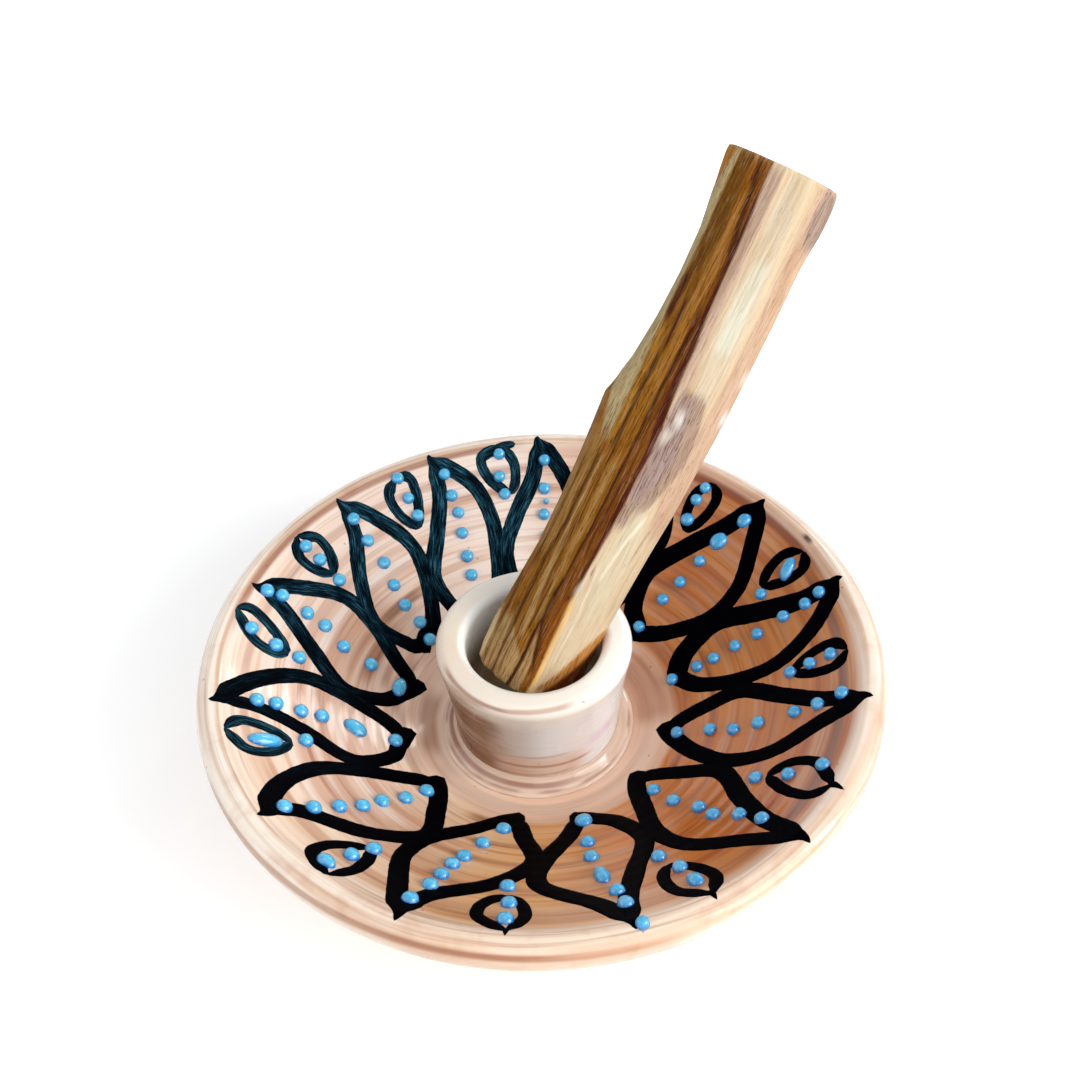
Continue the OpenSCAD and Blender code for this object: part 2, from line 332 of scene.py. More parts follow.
def bowlFrame(degrees, out):  # point, direction round, direction up the slope, normal
    near = 0.3  # reach to each side
    uphill = (onBowl(degrees, out + near) - onBowl(degrees, out - near)).normalized()
    around = (onBowl(degrees + near, out) - onBowl(degrees - near, out)).normalized()
    normal = around.cross(uphill).normalized()
    return onBowl(degrees, out), around, uphill, normal * -1 if normal.z < 0 else normal


def saucerProfile():
    c, floor = saucerCut, bowlStart[1]
    soft, out, inn, deep = c["footEase"], c["footOut"], c["footIn"], c["footDeep"]
    topSide = [(0.0, floor)] + [(r, floor) for r in spread(2, bowlStart[0] - 0.4, 8)]
    topSide += [(r, skinHeight(r)) for r in spread(bowlStart[0] + 0.2, bowlEnd[0] - 0.05, c["bowlSteps"])]
    meet, up, most = rimOut + c["rimRound"], c["rimHeight"], rimOut + c["rimMeet"]
    while math.hypot(meet - rimOut, underside(meet) - up) > c["rimRound"] or meet > most:
        meet -= 0.01  # to where the outside wall runs into the rolled rim
    stop = math.degrees(math.atan2(underside(meet) - up, meet - rimOut))
    topSide += arc(rimOut, up, c["rimRound"], c["rimStart"], stop + 6, 40)
    below = [(r, underside(r)) for r in spread(meet - 0.5, out + 0.6, 34)]
    foot = [(out + 0.15, underside(out) - 0.25), (out, underside(out) - 0.7), (out, soft + 0.1),
            (out - 0.1, soft - 0.1), (out - soft + 0.1, 0.1), (out - soft - 0.1, 0), (inn + soft + 0.1, 0),
            (inn + soft - 0.1, 0.1), (inn + 0.1, soft - 0.1), (inn, soft + 0.1), (inn - 0.05, deep - 0.2),
            (inn - 0.3, deep)]
    return topSide + below + foot + [(r, deep) for r in spread(inn - 2, 3, 6)] + [(0.0, deep)]


def saucerShape(out, height, turn):
    top = height > skinHeight(min(out, outside)) - 0.01 and out < rimOut
    return handThrown(out, height, turn, top)


# tone round the bowl, as (degrees, colour): the slip's own tone with painted light, paler at the back and
# left as a painted sheen of the glaze, deeper orange on the right partly as painted shade
slipAndLightTones = [
    (0, (199, 124, 54)), (45, (192, 117, 53)), (75, (228, 186, 158)), (95, (252, 236, 224)),
    (130, (247, 220, 203)), (180, (251, 225, 205)), (225, (250, 220, 191)), (262, (234, 176, 116)),
    (295, (204, 118, 28)), (335, (190, 104, 14)), (360, (199, 124, 54)),
]
# rings left by the brush, and two rings of painted shade, as (out, width, from, to in degrees, colour,
# strength)
brushAndShadeRings = [
    (20.5, 8.0, 0, 360, (250, 220, 200), 0.75), (24.0, 3.0, 0, 360, (236, 198, 172), 0.6),
    (21.8, 7.6, 346, 404, (176, 106, 66), 0.62), (22.6, 3.4, 156, 208, (156, 104, 68), 0.6),
    (39.0, 17.0, 135, 252, (214, 168, 142), 0.68), (27.4, 3.6, 336, 380, (186, 112, 68), 0.6),
    (55.1, 1.6, 300, 384, (122, 50, 8), 0.95), (53.5, 0.7, 300, 400, (196, 126, 80), 0.5),
    (52.2, 1.2, 330, 412, (194, 130, 86), 0.5), (47.6, 1.5, 355, 412, (188, 126, 84), 0.6),
    (43.6, 1.0, 2, 55, (170, 104, 66), 0.6), (40.5, 0.7, 300, 415, (162, 98, 60), 0.6),
    (37.3, 1.4, 3, 60, (158, 92, 56), 0.75), (33.0, 1.0, 322, 392, (166, 98, 56), 0.55),
    (28.2, 1.4, 316, 347, (134, 70, 42), 0.7), (28.0, 2.4, 236, 264, (148, 82, 52), 0.7),
    (27.6, 1.8, 172, 236, (168, 108, 82), 0.55), (27.3, 2.0, 18, 52, (160, 92, 58), 0.6),
    (23.6, 0.8, 0, 62, (176, 120, 88), 0.4), (22.1, 0.8, 5, 45, (190, 140, 110), 0.35),
    (34.8, 2.4, 143, 176, (160, 94, 56), 0.85), (36.6, 1.8, 125, 154, (140, 84, 52), 0.8),
    (31.4, 1.5, 152, 174, (170, 108, 74), 0.6), (28.6, 1.6, 148, 186, (160, 100, 74), 0.65),
    (45.5, 1.3, 118, 182, (204, 160, 140), 0.6), (41.8, 1.0, 118, 246, (208, 168, 146), 0.6),
    (49.4, 1.2, 82, 182, (212, 176, 160), 0.6), (53.8, 1.4, 78, 206, (202, 160, 140), 0.65),
    (57.6, 1.2, 88, 178, (180, 130, 106), 0.85), (52.4, 2.0, 198, 302, (206, 150, 114), 0.65),
    (55.0, 1.5, 248, 304, (192, 128, 88), 0.65), (47.1, 1.5, 238, 302, (198, 140, 100), 0.6),
    (39.0, 1.5, 222, 302, (194, 136, 96), 0.6), (33.5, 1.5, 238, 332, (188, 122, 78), 0.6),
    (38.2, 1.2, 160, 225, (214, 176, 154), 0.6), (44.0, 1.4, 300, 352, (182, 116, 70), 0.6),
    (48.6, 1.0, 302, 352, (186, 120, 74), 0.55), (36.4, 1.2, 302, 352, (174, 104, 60), 0.6),
    (50.8, 1.6, 92, 200, (246, 232, 224), 0.6), (43.6, 1.4, 84, 240, (248, 234, 224), 0.65),
    (47.4, 1.2, 100, 235, (246, 230, 218), 0.55), (38.9, 1.2, 180, 240, (246, 228, 214), 0.6),
    (25.2, 2.2, 236, 332, (226, 192, 170), 0.6), (21.8, 3.0, 200, 345, (228, 198, 178), 0.7),
    (60.0, 6.0, 244, 322, (247, 216, 188), 0.5), (58.6, 0.6, 0, 360, (214, 172, 140), 0.25),
    (60.0, 0.5, 80, 330, (222, 186, 158), 0.4), (62.1, 0.6, 198, 294, (176, 118, 84), 0.75),
    (61.6, 0.6, 130, 205, (196, 142, 108), 0.5), (61.6, 0.7, 325, 495, (226, 182, 150), 0.5),
    (37.6, 1.4, 148, 176, (188, 136, 110), 0.6), (52.0, 2.8, 316, 346, (214, 168, 138), 0.55),
    # both rings on this line are painted shade on the back right, beside the stick
    (54.0, 8.0, 44, 76, (176, 138, 116), 0.45), (61.0, 3.0, 38, 78, (222, 192, 166), 0.5),
    (61.4, 1.6, 90, 120, (226, 210, 194), 0.7), (61.1, 1.6, 262, 325, (228, 184, 150), 0.65),
    (56.3, 1.6, 370, 424, (138, 64, 22), 0.9), (58.0, 6.0, 226, 252, (255, 240, 226), 0.5),
    (58.8, 1.0, 21.6, 25.0, (84, 56, 42), 0.95),  # chip of dark slip
]


def roundTones(tones, degrees):  # a tone that changes slowly round the pot
    stops, colours = [stop for stop, _ in tones], np.array([shadeOf(colour) for _, colour in tones])
    return np.stack([np.interp(degrees % 360, stops, colours[:, i]) for i in range(3)], axis=1)


def layOver(paint, colour, weight):  # a colour over the paint, in place
    paint += (colour - paint) * weight[:, None]


def layRings(paint, degrees, across, rings, mask, swing):  # brush rings over a tone; some of the rings are painted shade or a painted glint
    for k, (middle, width, start, end, colour, strength) in enumerate(rings):
        line = middle + swing * np.sin(np.radians(degrees) * 2 + 1.9 * k)
        weight = (1 - smooth(0.25 * width, 0.75 * width, np.abs(across - line))) * strength * mask
        if end - start < 360:
            along, soft = (degrees - start) % 360, min(14, (end - start) / 3)
            weight = weight * smooth(0, soft, along) * (1 - smooth(end - start - soft, end - start, along))
        layOver(paint, shadeOf(colour), weight)
    return np.hstack([paint, np.ones((len(paint), 1))])


saucerLook = {
    "pale": (250, 224, 194), "clay": (206, 170, 134), "rim": (255, 244, 230), "brown": (128, 74, 44),
    "under": (242, 208, 178),
    "softStreak": (222, 186, 158), "darkStreak": (168, 112, 76),  # these two multiply
}
# brush streaks as (pitch, drift, seed, low, high, share, tone, how it is laid on)
saucerStreaks = [
    (2.6, 0.8, 60.0, 0.46, 0.66, 0.14, "pale", "MIX"),
    (3.6, 0.8, 3.0, 0.46, 0.64, 0.48, "softStreak", "MULTIPLY"),
    (1.5, 1.0, 11.0, 0.5, 0.68, 0.6, "softStreak", "MULTIPLY"),
    (0.6, 1.5, 27.0, 0.54, 0.72, 0.34, "darkStreak", "MULTIPLY"),  # the last can also be felt
]


def makeSaucerGlaze():
    material, tree, shader, look = newMaterial("saucerGlaze", saucerLook)
    at = useGroup(tree, turnGroup)
    out, place = at["Out"], at["Place"]
    bend = cloud(tree, place, 0.04, 1.0)  # brush lines wander in and out a little
    wander = calc(tree, "MULTIPLY_ADD", bend, 1.6, out)
    calm = fade(tree, out, 21.0, 31.0, 0.3, 1.0)  # the floor round the cup was wiped smooth
    colour = readNote(tree, "wash")["Color"]
    for *wash, share, tone, mode in saucerStreaks:
        streak = streakWash(tree, wander, at["Side"], *wash)
        colour = tint(tree, times(tree, streak, share, calm), colour, look[tone], mode)
    smudge = fade(tree, cloud(tree, place, 0.17, 3.0, 0.62), 0.48, 0.7, 0.0, 0.3)  # the rim is mottled
    smudge = times(tree, smudge, fade(tree, out, 56.5, 58.5))
    colour = tint(tree, smudge, colour, look["softStreak"], "MULTIPLY")
    skin = useGroup(tree, speckGroup, Place=place, Speck=0.05)
    colour = tint(tree, times(tree, skin["Mask"], 0.5), colour, look["brown"])
    bare = fade(tree, at["Height"], 1.3, 0.9)  # wiped foot ring
    grog = fade(tree, cloud(tree, place, 1.4, 4.0, 0.7), 0.42, 0.68, 0.0, 0.7)  # coarse clay
    colour = tint(tree, bare, colour, tint(tree, grog, look["clay"], look["softStreak"], "MULTIPLY"))
    rough = calc(tree, "MULTIPLY_ADD", skin["Gloss"], 0.16, 0.24)
    height = calc(tree, "MULTIPLY_ADD", streak, -0.4, skin["Height"])
    plug(tree, shader, Base_Color=colour, Roughness=tint(tree, bare, rough, (0.85, 0.85, 0.85, 1)),
         Coat_Weight=calc(tree, "SUBTRACT", 1.0, bare), Coat_Roughness=0.12, Specular_IOR_Level=0.05,
         Normal=bumps(tree, height, 0.1, 0.0002))
    return material


points, faces = spinMesh(saucerProfile(), saucerCut["segments"], saucerShape)
saucer = newPiece("saucer_bowl", points, faces, "holder", "saucer", makeSaucerGlaze())
far, turned, up = cylindrical(points)
onTop = np.array([z > skinHeight(min(r, outside)) - 0.6 for r, z in zip(far, up)], dtype=float)
# the slip's tone with its painted sheen and painted shade round the bowl
paint = roundTones(slipAndLightTones, turned)
layOver(paint, shadeOf(saucerLook["under"]), 1 - smooth(*saucerCut["underTone"], far))
layOver(paint, shadeOf(saucerLook["rim"]), smooth(*saucerCut["rimTone"], far) * saucerCut["rimShare"])
addNote(saucer, "wash", "FLOAT_COLOR", layRings(paint, turned, far, brushAndShadeRings, onTop, 0.3))
print("saucer thrown", len(points))


# cup and the clay round its foot

cupCut = {
    "centre": (-1.0, 0.0), "bore": 12.55, "lipOut": 18.05, "lipRound": 2.0, "foot": 15.65, "base": 7.4,
    "socketFloor": 17.31, "socketRound": 2.5, "ringHeight": 0.006, "ringPitch": 1.9, "segments": 220,
    "sweep": 1.7, "lipTurn": -10.4,  # how the wall narrows, and where it leaves the lip
    "lipTone": (24.5, 30.0), "innerTone": (13.2, 14.2), "deepTone": (18, 27),  # where the tones change
}
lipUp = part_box("cup")[1][2] / mm - cupCut["lipRound"]


def cupProfile():
    c, floor, curve, lip = cupCut, cupCut["socketFloor"], cupCut["socketRound"], cupCut["lipRound"]
    profile = [(0.0, floor)] + [(r, floor) for r in spread(2, c["bore"] - curve, 5)]
    profile += arc(c["bore"] - curve, floor + curve, curve, -80, 0, 8)
    profile += [(c["bore"], z) for z in spread(floor + curve + 0.8, lipUp - 0.5, 14)]
    profile += arc(c["bore"] + lip, lipUp, lip, 178, 92, 14)
    profile += arc(c["lipOut"] - lip, lipUp, lip, 88, c["lipTurn"], 22)
    top = profile[-1]
    for s in spread(0.02, 1, 80):
        flare = (top[0] - c["foot"]) * (1 - s) ** c["sweep"]
        profile.append((c["foot"] + flare, top[1] + (c["base"] - top[1]) * s))
    return profile + [(r, c["base"]) for r in spread(c["foot"] - 1, 3, 4)] + [(0.0, c["base"])]


def roundCup(out, height, turn):
    return out * math.cos(turn) + cupCut["centre"][0], out * math.sin(turn) + cupCut["centre"][1], height


def cupShape(out, height, turn):
    c = cupCut
    wall = float(smooth(13.5, 14.5, out) * smooth(8, 10, height) * (1 - smooth(lipUp - 2, lipUp, height)))
    out += wall * c["ringHeight"] * math.sin(2 * math.pi * height / c["ringPitch"] + 1.2 * math.sin(turn))
    return roundCup(out, height, turn)


# tones of the cup's wall and lip, as (degrees, colour); the darker brown on the left is partly the glaze's
# own and partly painted shade
cupTones = [
    (0, (254, 253, 250)), (60, (250, 246, 238)), (120, (240, 230, 216)), (168, (210, 178, 148)),
    (190, (140, 90, 48)), (218, (116, 68, 30)), (234, (146, 104, 68)), (250, (206, 192, 182)),
    (276, (238, 238, 237)), (298, (242, 234, 230)), (322, (254, 255, 255)), (360, (254, 253, 250)),
]
lipTones = [
    (0, (255, 253, 249)), (110, (250, 244, 233)), (185, (236, 218, 198)), (235, (244, 232, 216)),
    (290, (253, 243, 230)), (360, (255, 253, 249)),
]
# rings left by the brush, and a painted lilac glint, as (height, width, from, to in degrees, colour,
# strength)
cupRings = [
    (12.4, 7.0, 236, 306, (226, 184, 152), 0.65), (31.1, 0.5, 196, 262, (160, 102, 74), 0.75),
    (30.9, 0.6, 246, 298, (190, 142, 122), 0.7), (30.2, 0.8, 205, 246, (170, 112, 84), 0.5),
    (29.0, 1.8, 150, 238, (198, 158, 126), 0.6), (25.2, 3.6, 214, 252, (124, 78, 44), 0.6),
    (24.6, 1.0, 192, 246, (186, 158, 138), 0.45), (21.6, 1.4, 176, 250, (140, 92, 56), 0.65),
    (18.4, 1.8, 186, 258, (192, 156, 132), 0.5), (16.2, 0.7, 188, 296, (190, 148, 122), 0.5),
    (13.4, 0.8, 192, 312, (156, 106, 78), 0.65), (10.9, 0.6, 180, 300, (176, 128, 104), 0.5),
    # the first ring on this line is a painted glint, lilac-white, on the lower right
    (17.0, 3.0, 298, 336, (240, 214, 236), 0.6), (31.05, 0.35, 295.8, 299.2, (140, 116, 100), 0.8),
]
cupLook = {"inside": (255, 255, 252), "deep": (150, 126, 92), "olive": (150, 108, 70),
           "softStreak": (230, 208, 194)}  # the last multiplies


def placeOnCup(tree):
    return useGroup(tree, turnGroup, Centre=(cupCut["centre"][0] * mm, cupCut["centre"][1] * mm, 0))


def makeCupGlaze():
    material, tree, shader, look = newMaterial("cupGlaze", cupLook)
    at = placeOnCup(tree)
    bend = cloud(tree, at["Place"], 0.06)
    wander = calc(tree, "MULTIPLY_ADD", bend, 2.0, at["Height"])
    soft = streakWash(tree, wander, at["Side"], 2.2, 1.0, 5.0, 0.46, 0.64)
    fine = streakWash(tree, wander, at["Side"], 0.7, 1.4, 19.0, 0.5, 0.7)
    streak = calc(tree, "MULTIPLY_ADD", fine, 0.25, times(tree, soft, 0.35))
    below = fade(tree, at["Height"], 27.0, 18.0)  # the lip stays clean
    toLeft = fade(tree, splitUp(tree, at["Side"])["X"], 0.2, -0.6, 0.15, 1.0)
    colour = readNote(tree, "wash")["Color"]
    colour = tint(tree, times(tree, streak, below, toLeft), colour, look["softStreak"], "MULTIPLY")
    skin = useGroup(tree, speckGroup, Place=at["Place"], Speck=0.05)
    colour = tint(tree, times(tree, skin["Mask"], 0.45), colour, look["olive"])
    height = calc(tree, "MULTIPLY_ADD", fine, -0.3, skin["Height"])
    plug(tree, shader, Base_Color=colour, Roughness=calc(tree, "MULTIPLY_ADD", skin["Gloss"], 0.14, 0.2),
         Coat_Weight=0.5, Coat_Roughness=0.08, Specular_IOR_Level=0.1,
         Normal=bumps(tree, height, 0.1, 0.0002))
    return material


points, faces = spinMesh(cupProfile(), cupCut["segments"], cupShape)
cup = newPiece("cup_body", points, faces, "holder", "cup", makeCupGlaze())
far, turned, up = cylindrical(points, cupCut["centre"])
paint = roundTones(cupTones, turned)
layOver(paint, roundTones(lipTones, turned), smooth(*cupCut["lipTone"], up))
inner = 1 - smooth(*cupCut["innerTone"], far)
# inside the socket, darker towards the bottom: painted shade
deep, inside = shadeOf(cupLook["deep"]), shadeOf(cupLook["inside"])
layOver(paint, np.array([deep]) + smooth(*cupCut["deepTone"], up)[:, None] * (inside - deep), inner)
addNote(cup, "wash", "FLOAT_COLOR", layRings(paint, turned, up, cupRings, 1 - inner, 0.25))
print("cup thrown", len(points))

filletCut = {"reach": 3.0, "height": 2.6, "seam": 0.05, "hollow": 0.62, "roll": 0.05, "sway": 0.06,
             "segments": 180}
filletLook = {"slip": (240, 212, 192), "line": (164, 116, 96), "shade": (230, 196, 172),
              "wall": (230, 200, 178)}


def filletProfile():
    c, base = filletCut, cupCut["base"]
    foot = cupCut["foot"] + c["seam"]
    face = []
    for s in spread(0, 1, 22):
        droop = s ** c["hollow"]
        ridge = c["roll"] * (math.exp(-((s - 0.86) / 0.07) ** 2) - 0.7 * math.exp(-((s - 0.7) / 0.06) ** 2))
        height = base + c["height"] * (1 - droop) + 0.3 * s + ridge
        face.append((foot + 0.05 + (c["reach"] - 0.1) * s, height))
    return [(foot, base)] + face + [(foot + c["reach"] - 0.05, base)]


def filletShape(out, height, turn):
    height += filletCut["sway"] * math.sin(3 * turn + 1) * (height > cupCut["base"] + 0.01)
    return roundCup(out, height, turn)


def makeFilletGlaze():
    material, tree, shader, look = newMaterial("filletGlaze", filletLook)
    at = placeOnCup(tree)
    out, side = at["Out"], at["Side"]
    colour = tint(tree, streakWash(tree, out, side, 1.1, 2.4, 8.0, 0.4, 0.65), look["slip"], look["shade"])
    edge = times(tree, fade(tree, out, 17.3, 17.7), fade(tree, out, 18.3, 17.9))
    ragged = times(tree, streakWash(tree, out, side, 2.0, 3.0, 14.0, 0.3, 0.6), 0.6)
    colour = tint(tree, times(tree, edge, ragged), colour, look["line"])
    colour = tint(tree, fade(tree, out, 16.5, 16.2), colour, look["wall"])
    # painted shade where the cup meets the saucer
    creaseShade = times(tree, fade(tree, out, 16.2, 16.6), fade(tree, out, 17.6, 16.9))
    creaseShade = times(tree, creaseShade, fade(tree, splitUp(tree, side)["X"], 0.75, 0.1, 0.1, 0.9))  # painted shade in the crease, faint on the right where the light falls
    colour = tint(tree, creaseShade, colour, look["line"])
    skin = useGroup(tree, speckGroup, Place=at["Place"], Speck=0.05)
    plug(tree, shader, Base_Color=colour, Roughness=calc(tree, "MULTIPLY_ADD", skin["Gloss"], 0.16, 0.2),
         Coat_Weight=1.0, Coat_Roughness=0.06, Specular_IOR_Level=0.05,
         Normal=bumps(tree, skin["Height"], 0.12, 0.0002))
    return material


points, faces = ringMesh(filletProfile(), filletCut["segments"], filletShape)
newPiece("luting_clay", points, faces, "holder", "luting_fillet", makeFilletGlaze())
print("fillet smoothed", len(points))


# brush strokes of black enamel

strokeCut = {
    "step": 0.45, "lanes": 11, "lift": 0.14, "sink": 0.08, "ragged": 0.09,
    "tipFlick": 2.6, "budWide": 2.2, "budFlick": 1.7,  # widths; the petals have their own
}
# how a stroke starts and ends: share of the width, length of the taper, rounding
strokeEnds = {
    "petal": ((0.14, 4.2, 0.3), (0.85, 3.0, 0.45)), "tipFlick": ((0.3, 2.6, 0.25), (0.35, 2.0, 0.5)),
    "bud": ((0.4, 2.6, 0.4), (0.55, 2.2, 0.6)), "budFlick": ((0.3, 2.4, 0.25), (0.6, 1.5, 0.4)),
}
stations = (52, 45, 38, 31)  # distances out at which a petal's two sides were read

# tip and root as (degrees, out), then the low and high side in degrees at the stations,
# the widths, and which side runs on into a tail
petals = [
    ((11.5, 58.0), (12.5, 25.0), (4.5, -0.4, -0.8, 3.3), (12.0, 16.2, 22.0, 20.0), 3.3, 4.2, 0),
    ((36.5, 57.8), (41.0, 24.8), (31.9, 26.0, 24.6, 30.9), (39.4, 45.2, 51.6, 50.0), 3.3, 3.8, 0),
    ((62.0, 57.5), (66.0, 25.0), (57.0, 53.0, 53.5, 57.0), (66.0, 72.0, 76.0, 73.0), 3.3, 3.4, 0),
    ((88.2, 58.5), (83.0, 25.0), (82.2, 78.0, 76.5, 79.0), (89.4, 94.4, 99.2, 97.0), 3.3, 3.4, 0),
    ((111.7, 58.0), (116.0, 25.0), (104.3, 101.5, 102.0, 105.0), (112.4, 117.0, 124.0, 124.0), 3.3, 3.2, 0),
    ((134.0, 57.2), (144.5, 26.5), (129.1, 125.1, 126.9, 134.2), (135.6, 142.9, 150.2, 148.5), 3.2, 3.0, 0),
    ((161.5, 56.8), (163.0, 24.5), (156.0, 150.0, 151.0, 157.5), (162.5, 168.4, 176.8, 176.2), 3.2, 3.2, -1),
    ((190.2, 58.3), (190.0, 25.3), (182.6, 177.9, 178.9, 184.2), (190.0, 193.9, 203.0, 202.5), 3.3, 3.0, -1),
    ((217.0, 57.2), (217.5, 24.3), (210.2, 206.1, 207.1, 212.0), (217.5, 228.0, 236.3, 230.5), 3.3, 3.4, -1),
    ((246.8, 58.5), (257.5, 23.5), (242.5, 237.7, 237.8, 245.2), (248.5, 258.5, 266.0, 262.1), 3.3, 3.4, 1),
    ((281.8, 58.4), (282.0, 24.3), (278.0, 267.7, 268.6, 276.2), (283.2, 287.9, 295.2, 293.9), 3.4, 3.4, -1),
    ((312.0, 59.5), (317.5, 22.0), (307.2, 300.6, 298.9, 303.6), (313.2, 317.5, 325.2, 323.5), 3.4, 3.4, 1),
    ((343.3, 58.3), (347.5, 22.8), (339.3, 332.4, 329.6, 333.1), (344.8, 349.0, 354.8, 353.1), 3.4, 3.4, 1),
]
# top, low side, high side and bottom as (degrees, out)
buds = [
    ((21.5, 56.6), (18.2, 53.1), (24.2, 52.2), (21.5, 47.8)),
    ((48.0, 56.9), (45.3, 52.7), (50.5, 52.0), (47.9, 47.2)),
    ((75.0, 57.0), (72.3, 52.8), (78.0, 52.5), (75.0, 47.6)),
    ((96.0, 58.0), (93.6, 52.8), (101.0, 54.3), (95.5, 48.8)),
    ((120.5, 57.0), (117.5, 54.0), (124.0, 52.4), (121.0, 47.0)),
    ((146.4, 57.5), (143.3, 53.1), (149.8, 53.1), (147.0, 48.7)),
    ((168.2, 58.4), (167.5, 53.8), (174.0, 52.4), (172.8, 48.1)),
    ((196.8, 57.6), (194.4, 52.7), (201.8, 52.7), (198.3, 47.2)),
    ((233.5, 57.9), (227.3, 53.8), (234.8, 51.6), (232.0, 47.6)),
    ((263.0, 57.7), (257.5, 52.7), (265.3, 52.0), (261.5, 48.1)),
    ((294.5, 58.6), (290.4, 52.2), (297.5, 52.7), (293.5, 47.2)),
    ((323.5, 57.9), (320.8, 52.9), (329.3, 51.1), (325.0, 46.3)),
    ((355.3, 55.9), (352.3, 51.8), (358.3, 51.8), (355.0, 46.5)),
]
# flicks where the brush left a bud, from and to as (degrees, out)
budFlicks = [
    ((263.0, 57.0), (263.0, 58.8)), ((294.5, 57.6), (294.5, 59.8)), ((323.5, 57.2), (323.2, 60.0)),
    ((93.0, 58.1), (97.5, 58.2)),
]
# painted blue-green sheen on the black enamel at the back and left: share at these degrees, for petals and
# for buds
sheenStops = (0, 78, 92, 110, 135, 155, 170, 182, 194, 206, 214, 360)
petalSheen = (0, 0, 0.9, 1.0, 0.95, 0.75, 0.4, 0.12, 0.06, 0.04, 0, 0)
budSheen = (0, 0, 0.9, 1.0, 1.0, 1.0, 1.0, 1.0, 1.0, 0.8, 0, 0)


def flatPlace(degrees, out):
    return Vector((out * math.cos(math.radians(degrees)), out * math.sin(math.radians(degrees))))


def easedPath(marks, step):  # smooth curve through the marks, evenly stepped
    ends = [2 * marks[0] - marks[1]] + marks + [2 * marks[-1] - marks[-2]]
    fine, count = [], 24
    for i in range(1, len(ends) - 2):
        a, b, c, d = ends[i - 1:i + 3]
        for k in range(count):
            t = k / count
            straight = 2 * b + (c - a) * t
            bent = straight + (2 * a - 5 * b + 4 * c - d) * t ** 2 + (3 * b - a - 3 * c + d) * t ** 3
            fine.append(0.5 * bent)
    fine.append(marks[-1])
    run = [0.0]
    for p, q in zip(fine, fine[1:]):
        run.append(run[-1] + (q - p).length)
    wanted = np.linspace(0, run[-1], max(4, int(run[-1] / step)) + 1)
    xs, ys = (np.interp(wanted, run, [p[axis] for p in fine]) for axis in (0, 1))
    return [Vector((x, y)) for x, y in zip(xs, ys)], wanted


class strokePot:  # gathers the strokes of one piece
    def __init__(self):
        self.points, self.faces, self.brush = [], [], []


def brushStroke(pot, marks, width, seed, kind):
    c, lanes, (start, end) = strokeCut, strokeCut["lanes"], strokeEnds[kind]
    sheen = budSheen if kind.startswith("bud") else petalSheen
    path, run = easedPath(marks, c["step"])
    total, loop, first = run[-1], lanes + 2, len(pot.points)
    for i, (p, s) in enumerate(zip(path, run)):
        ahead = (path[min(i + 1, len(path) - 1)] - path[max(i - 1, 0)]).normalized()
        across = Vector((-ahead.y, ahead.x))
        press = min(share + (1 - share) * ease(0, taper, left)
                    for left, (share, taper, _) in ((s, start), (total - s, end)))
        for left, (_, _, rounding) in ((s, start), (total - s, end)):
            press *= math.sqrt(max(0.02, 1 - max(0.0, 1 - left / rounding) ** 2))
        half = width / 2 * press * (1 + 0.07 * wave(s * 0.22, seed))
        for lane in range(-1, lanes + 1):
            u = max(-1, min(1, -1 + 2 * lane / (lanes - 1)))
            edge = c["ragged"] * wave(s * 1.1, seed + 5 * u, 2.0) * abs(u) ** 3 * min(1, press * 2)
            spot = p + across * (u * half + edge)
            hair = 1 + 0.35 * wave(u * 4.5 + seed, s * 0.16, 5.0)
            lift = c["lift"] * (1 - 0.8 * abs(u) ** 4) * hair * (0.55 + 0.45 * min(1, press))
            if lane in (-1, lanes):
                lift = -c["sink"]
            out, turn = spot.length, math.degrees(math.atan2(spot.y, spot.x))
            pot.points.append((onBowl(turn, out) + Vector((0, 0, lift))) * mm)
            # painted sheen, fading towards the middle of the bowl
            paintedSheen = float(np.interp(turn % 360, sheenStops, sheen)) * ease(29, 41, out)
            pot.brush.append((u, s + 40 * seed, paintedSheen))
    pot.faces += bandFaces(len(path), loop, first)
    last = first + (len(path) - 1) * loop
    pot.faces += [tuple(first + k for k in range(loop))[::-1], tuple(last + k for k in range(loop))]


# black enamel; sheen and dusk are its painted blue-green sheen
inkLook = {"black": (0, 0, 3), "sheen": (64, 126, 150), "dusk": (4, 20, 33)}


def makeInk():
    material, tree, shader, look = newMaterial("brushEnamel", inkLook)
    parts = splitUp(tree, readNote(tree, "brush")["Vector"])
    hairs = joinUp(tree, times(tree, parts["X"], 7.0), times(tree, parts["Y"], 0.3))
    lanes = cloud(tree, hairs, 1.0, 4.0, 0.65)
    grit = cloud(tree, addNode(tree, "TexCoord").outputs["Object"], 5200.0, 1.0)
    bright = times(tree, fade(tree, lanes, 0.44, 0.7), fade(tree, grit, 0.3, 0.7, 0.6, 1.0))
    sheenPatches = cloud(tree, joinUp(tree, parts["X"], times(tree, parts["Y"], 0.14)), 1.0, 1.0)
    sheen = times(tree, parts["Z"], fade(tree, sheenPatches, 0.36, 0.6, 0.25, 1.0))  # painted sheen, broken into patches along the stroke
    # the painted sheen laid over the black
    colour = tint(tree, sheen, look["black"], look["dusk"])
    colour = tint(tree, times(tree, bright, sheen), colour, look["sheen"])
    height = calc(tree, "ADD", lanes, times(tree, grit, 0.3))
    plug(tree, shader, Base_Color=colour, Roughness=calc(tree, "MULTIPLY_ADD", lanes, 0.2, 0.3),
         Specular_IOR_Level=0.01, Normal=bumps(tree, height, 0.2, 0.0001))
    return material


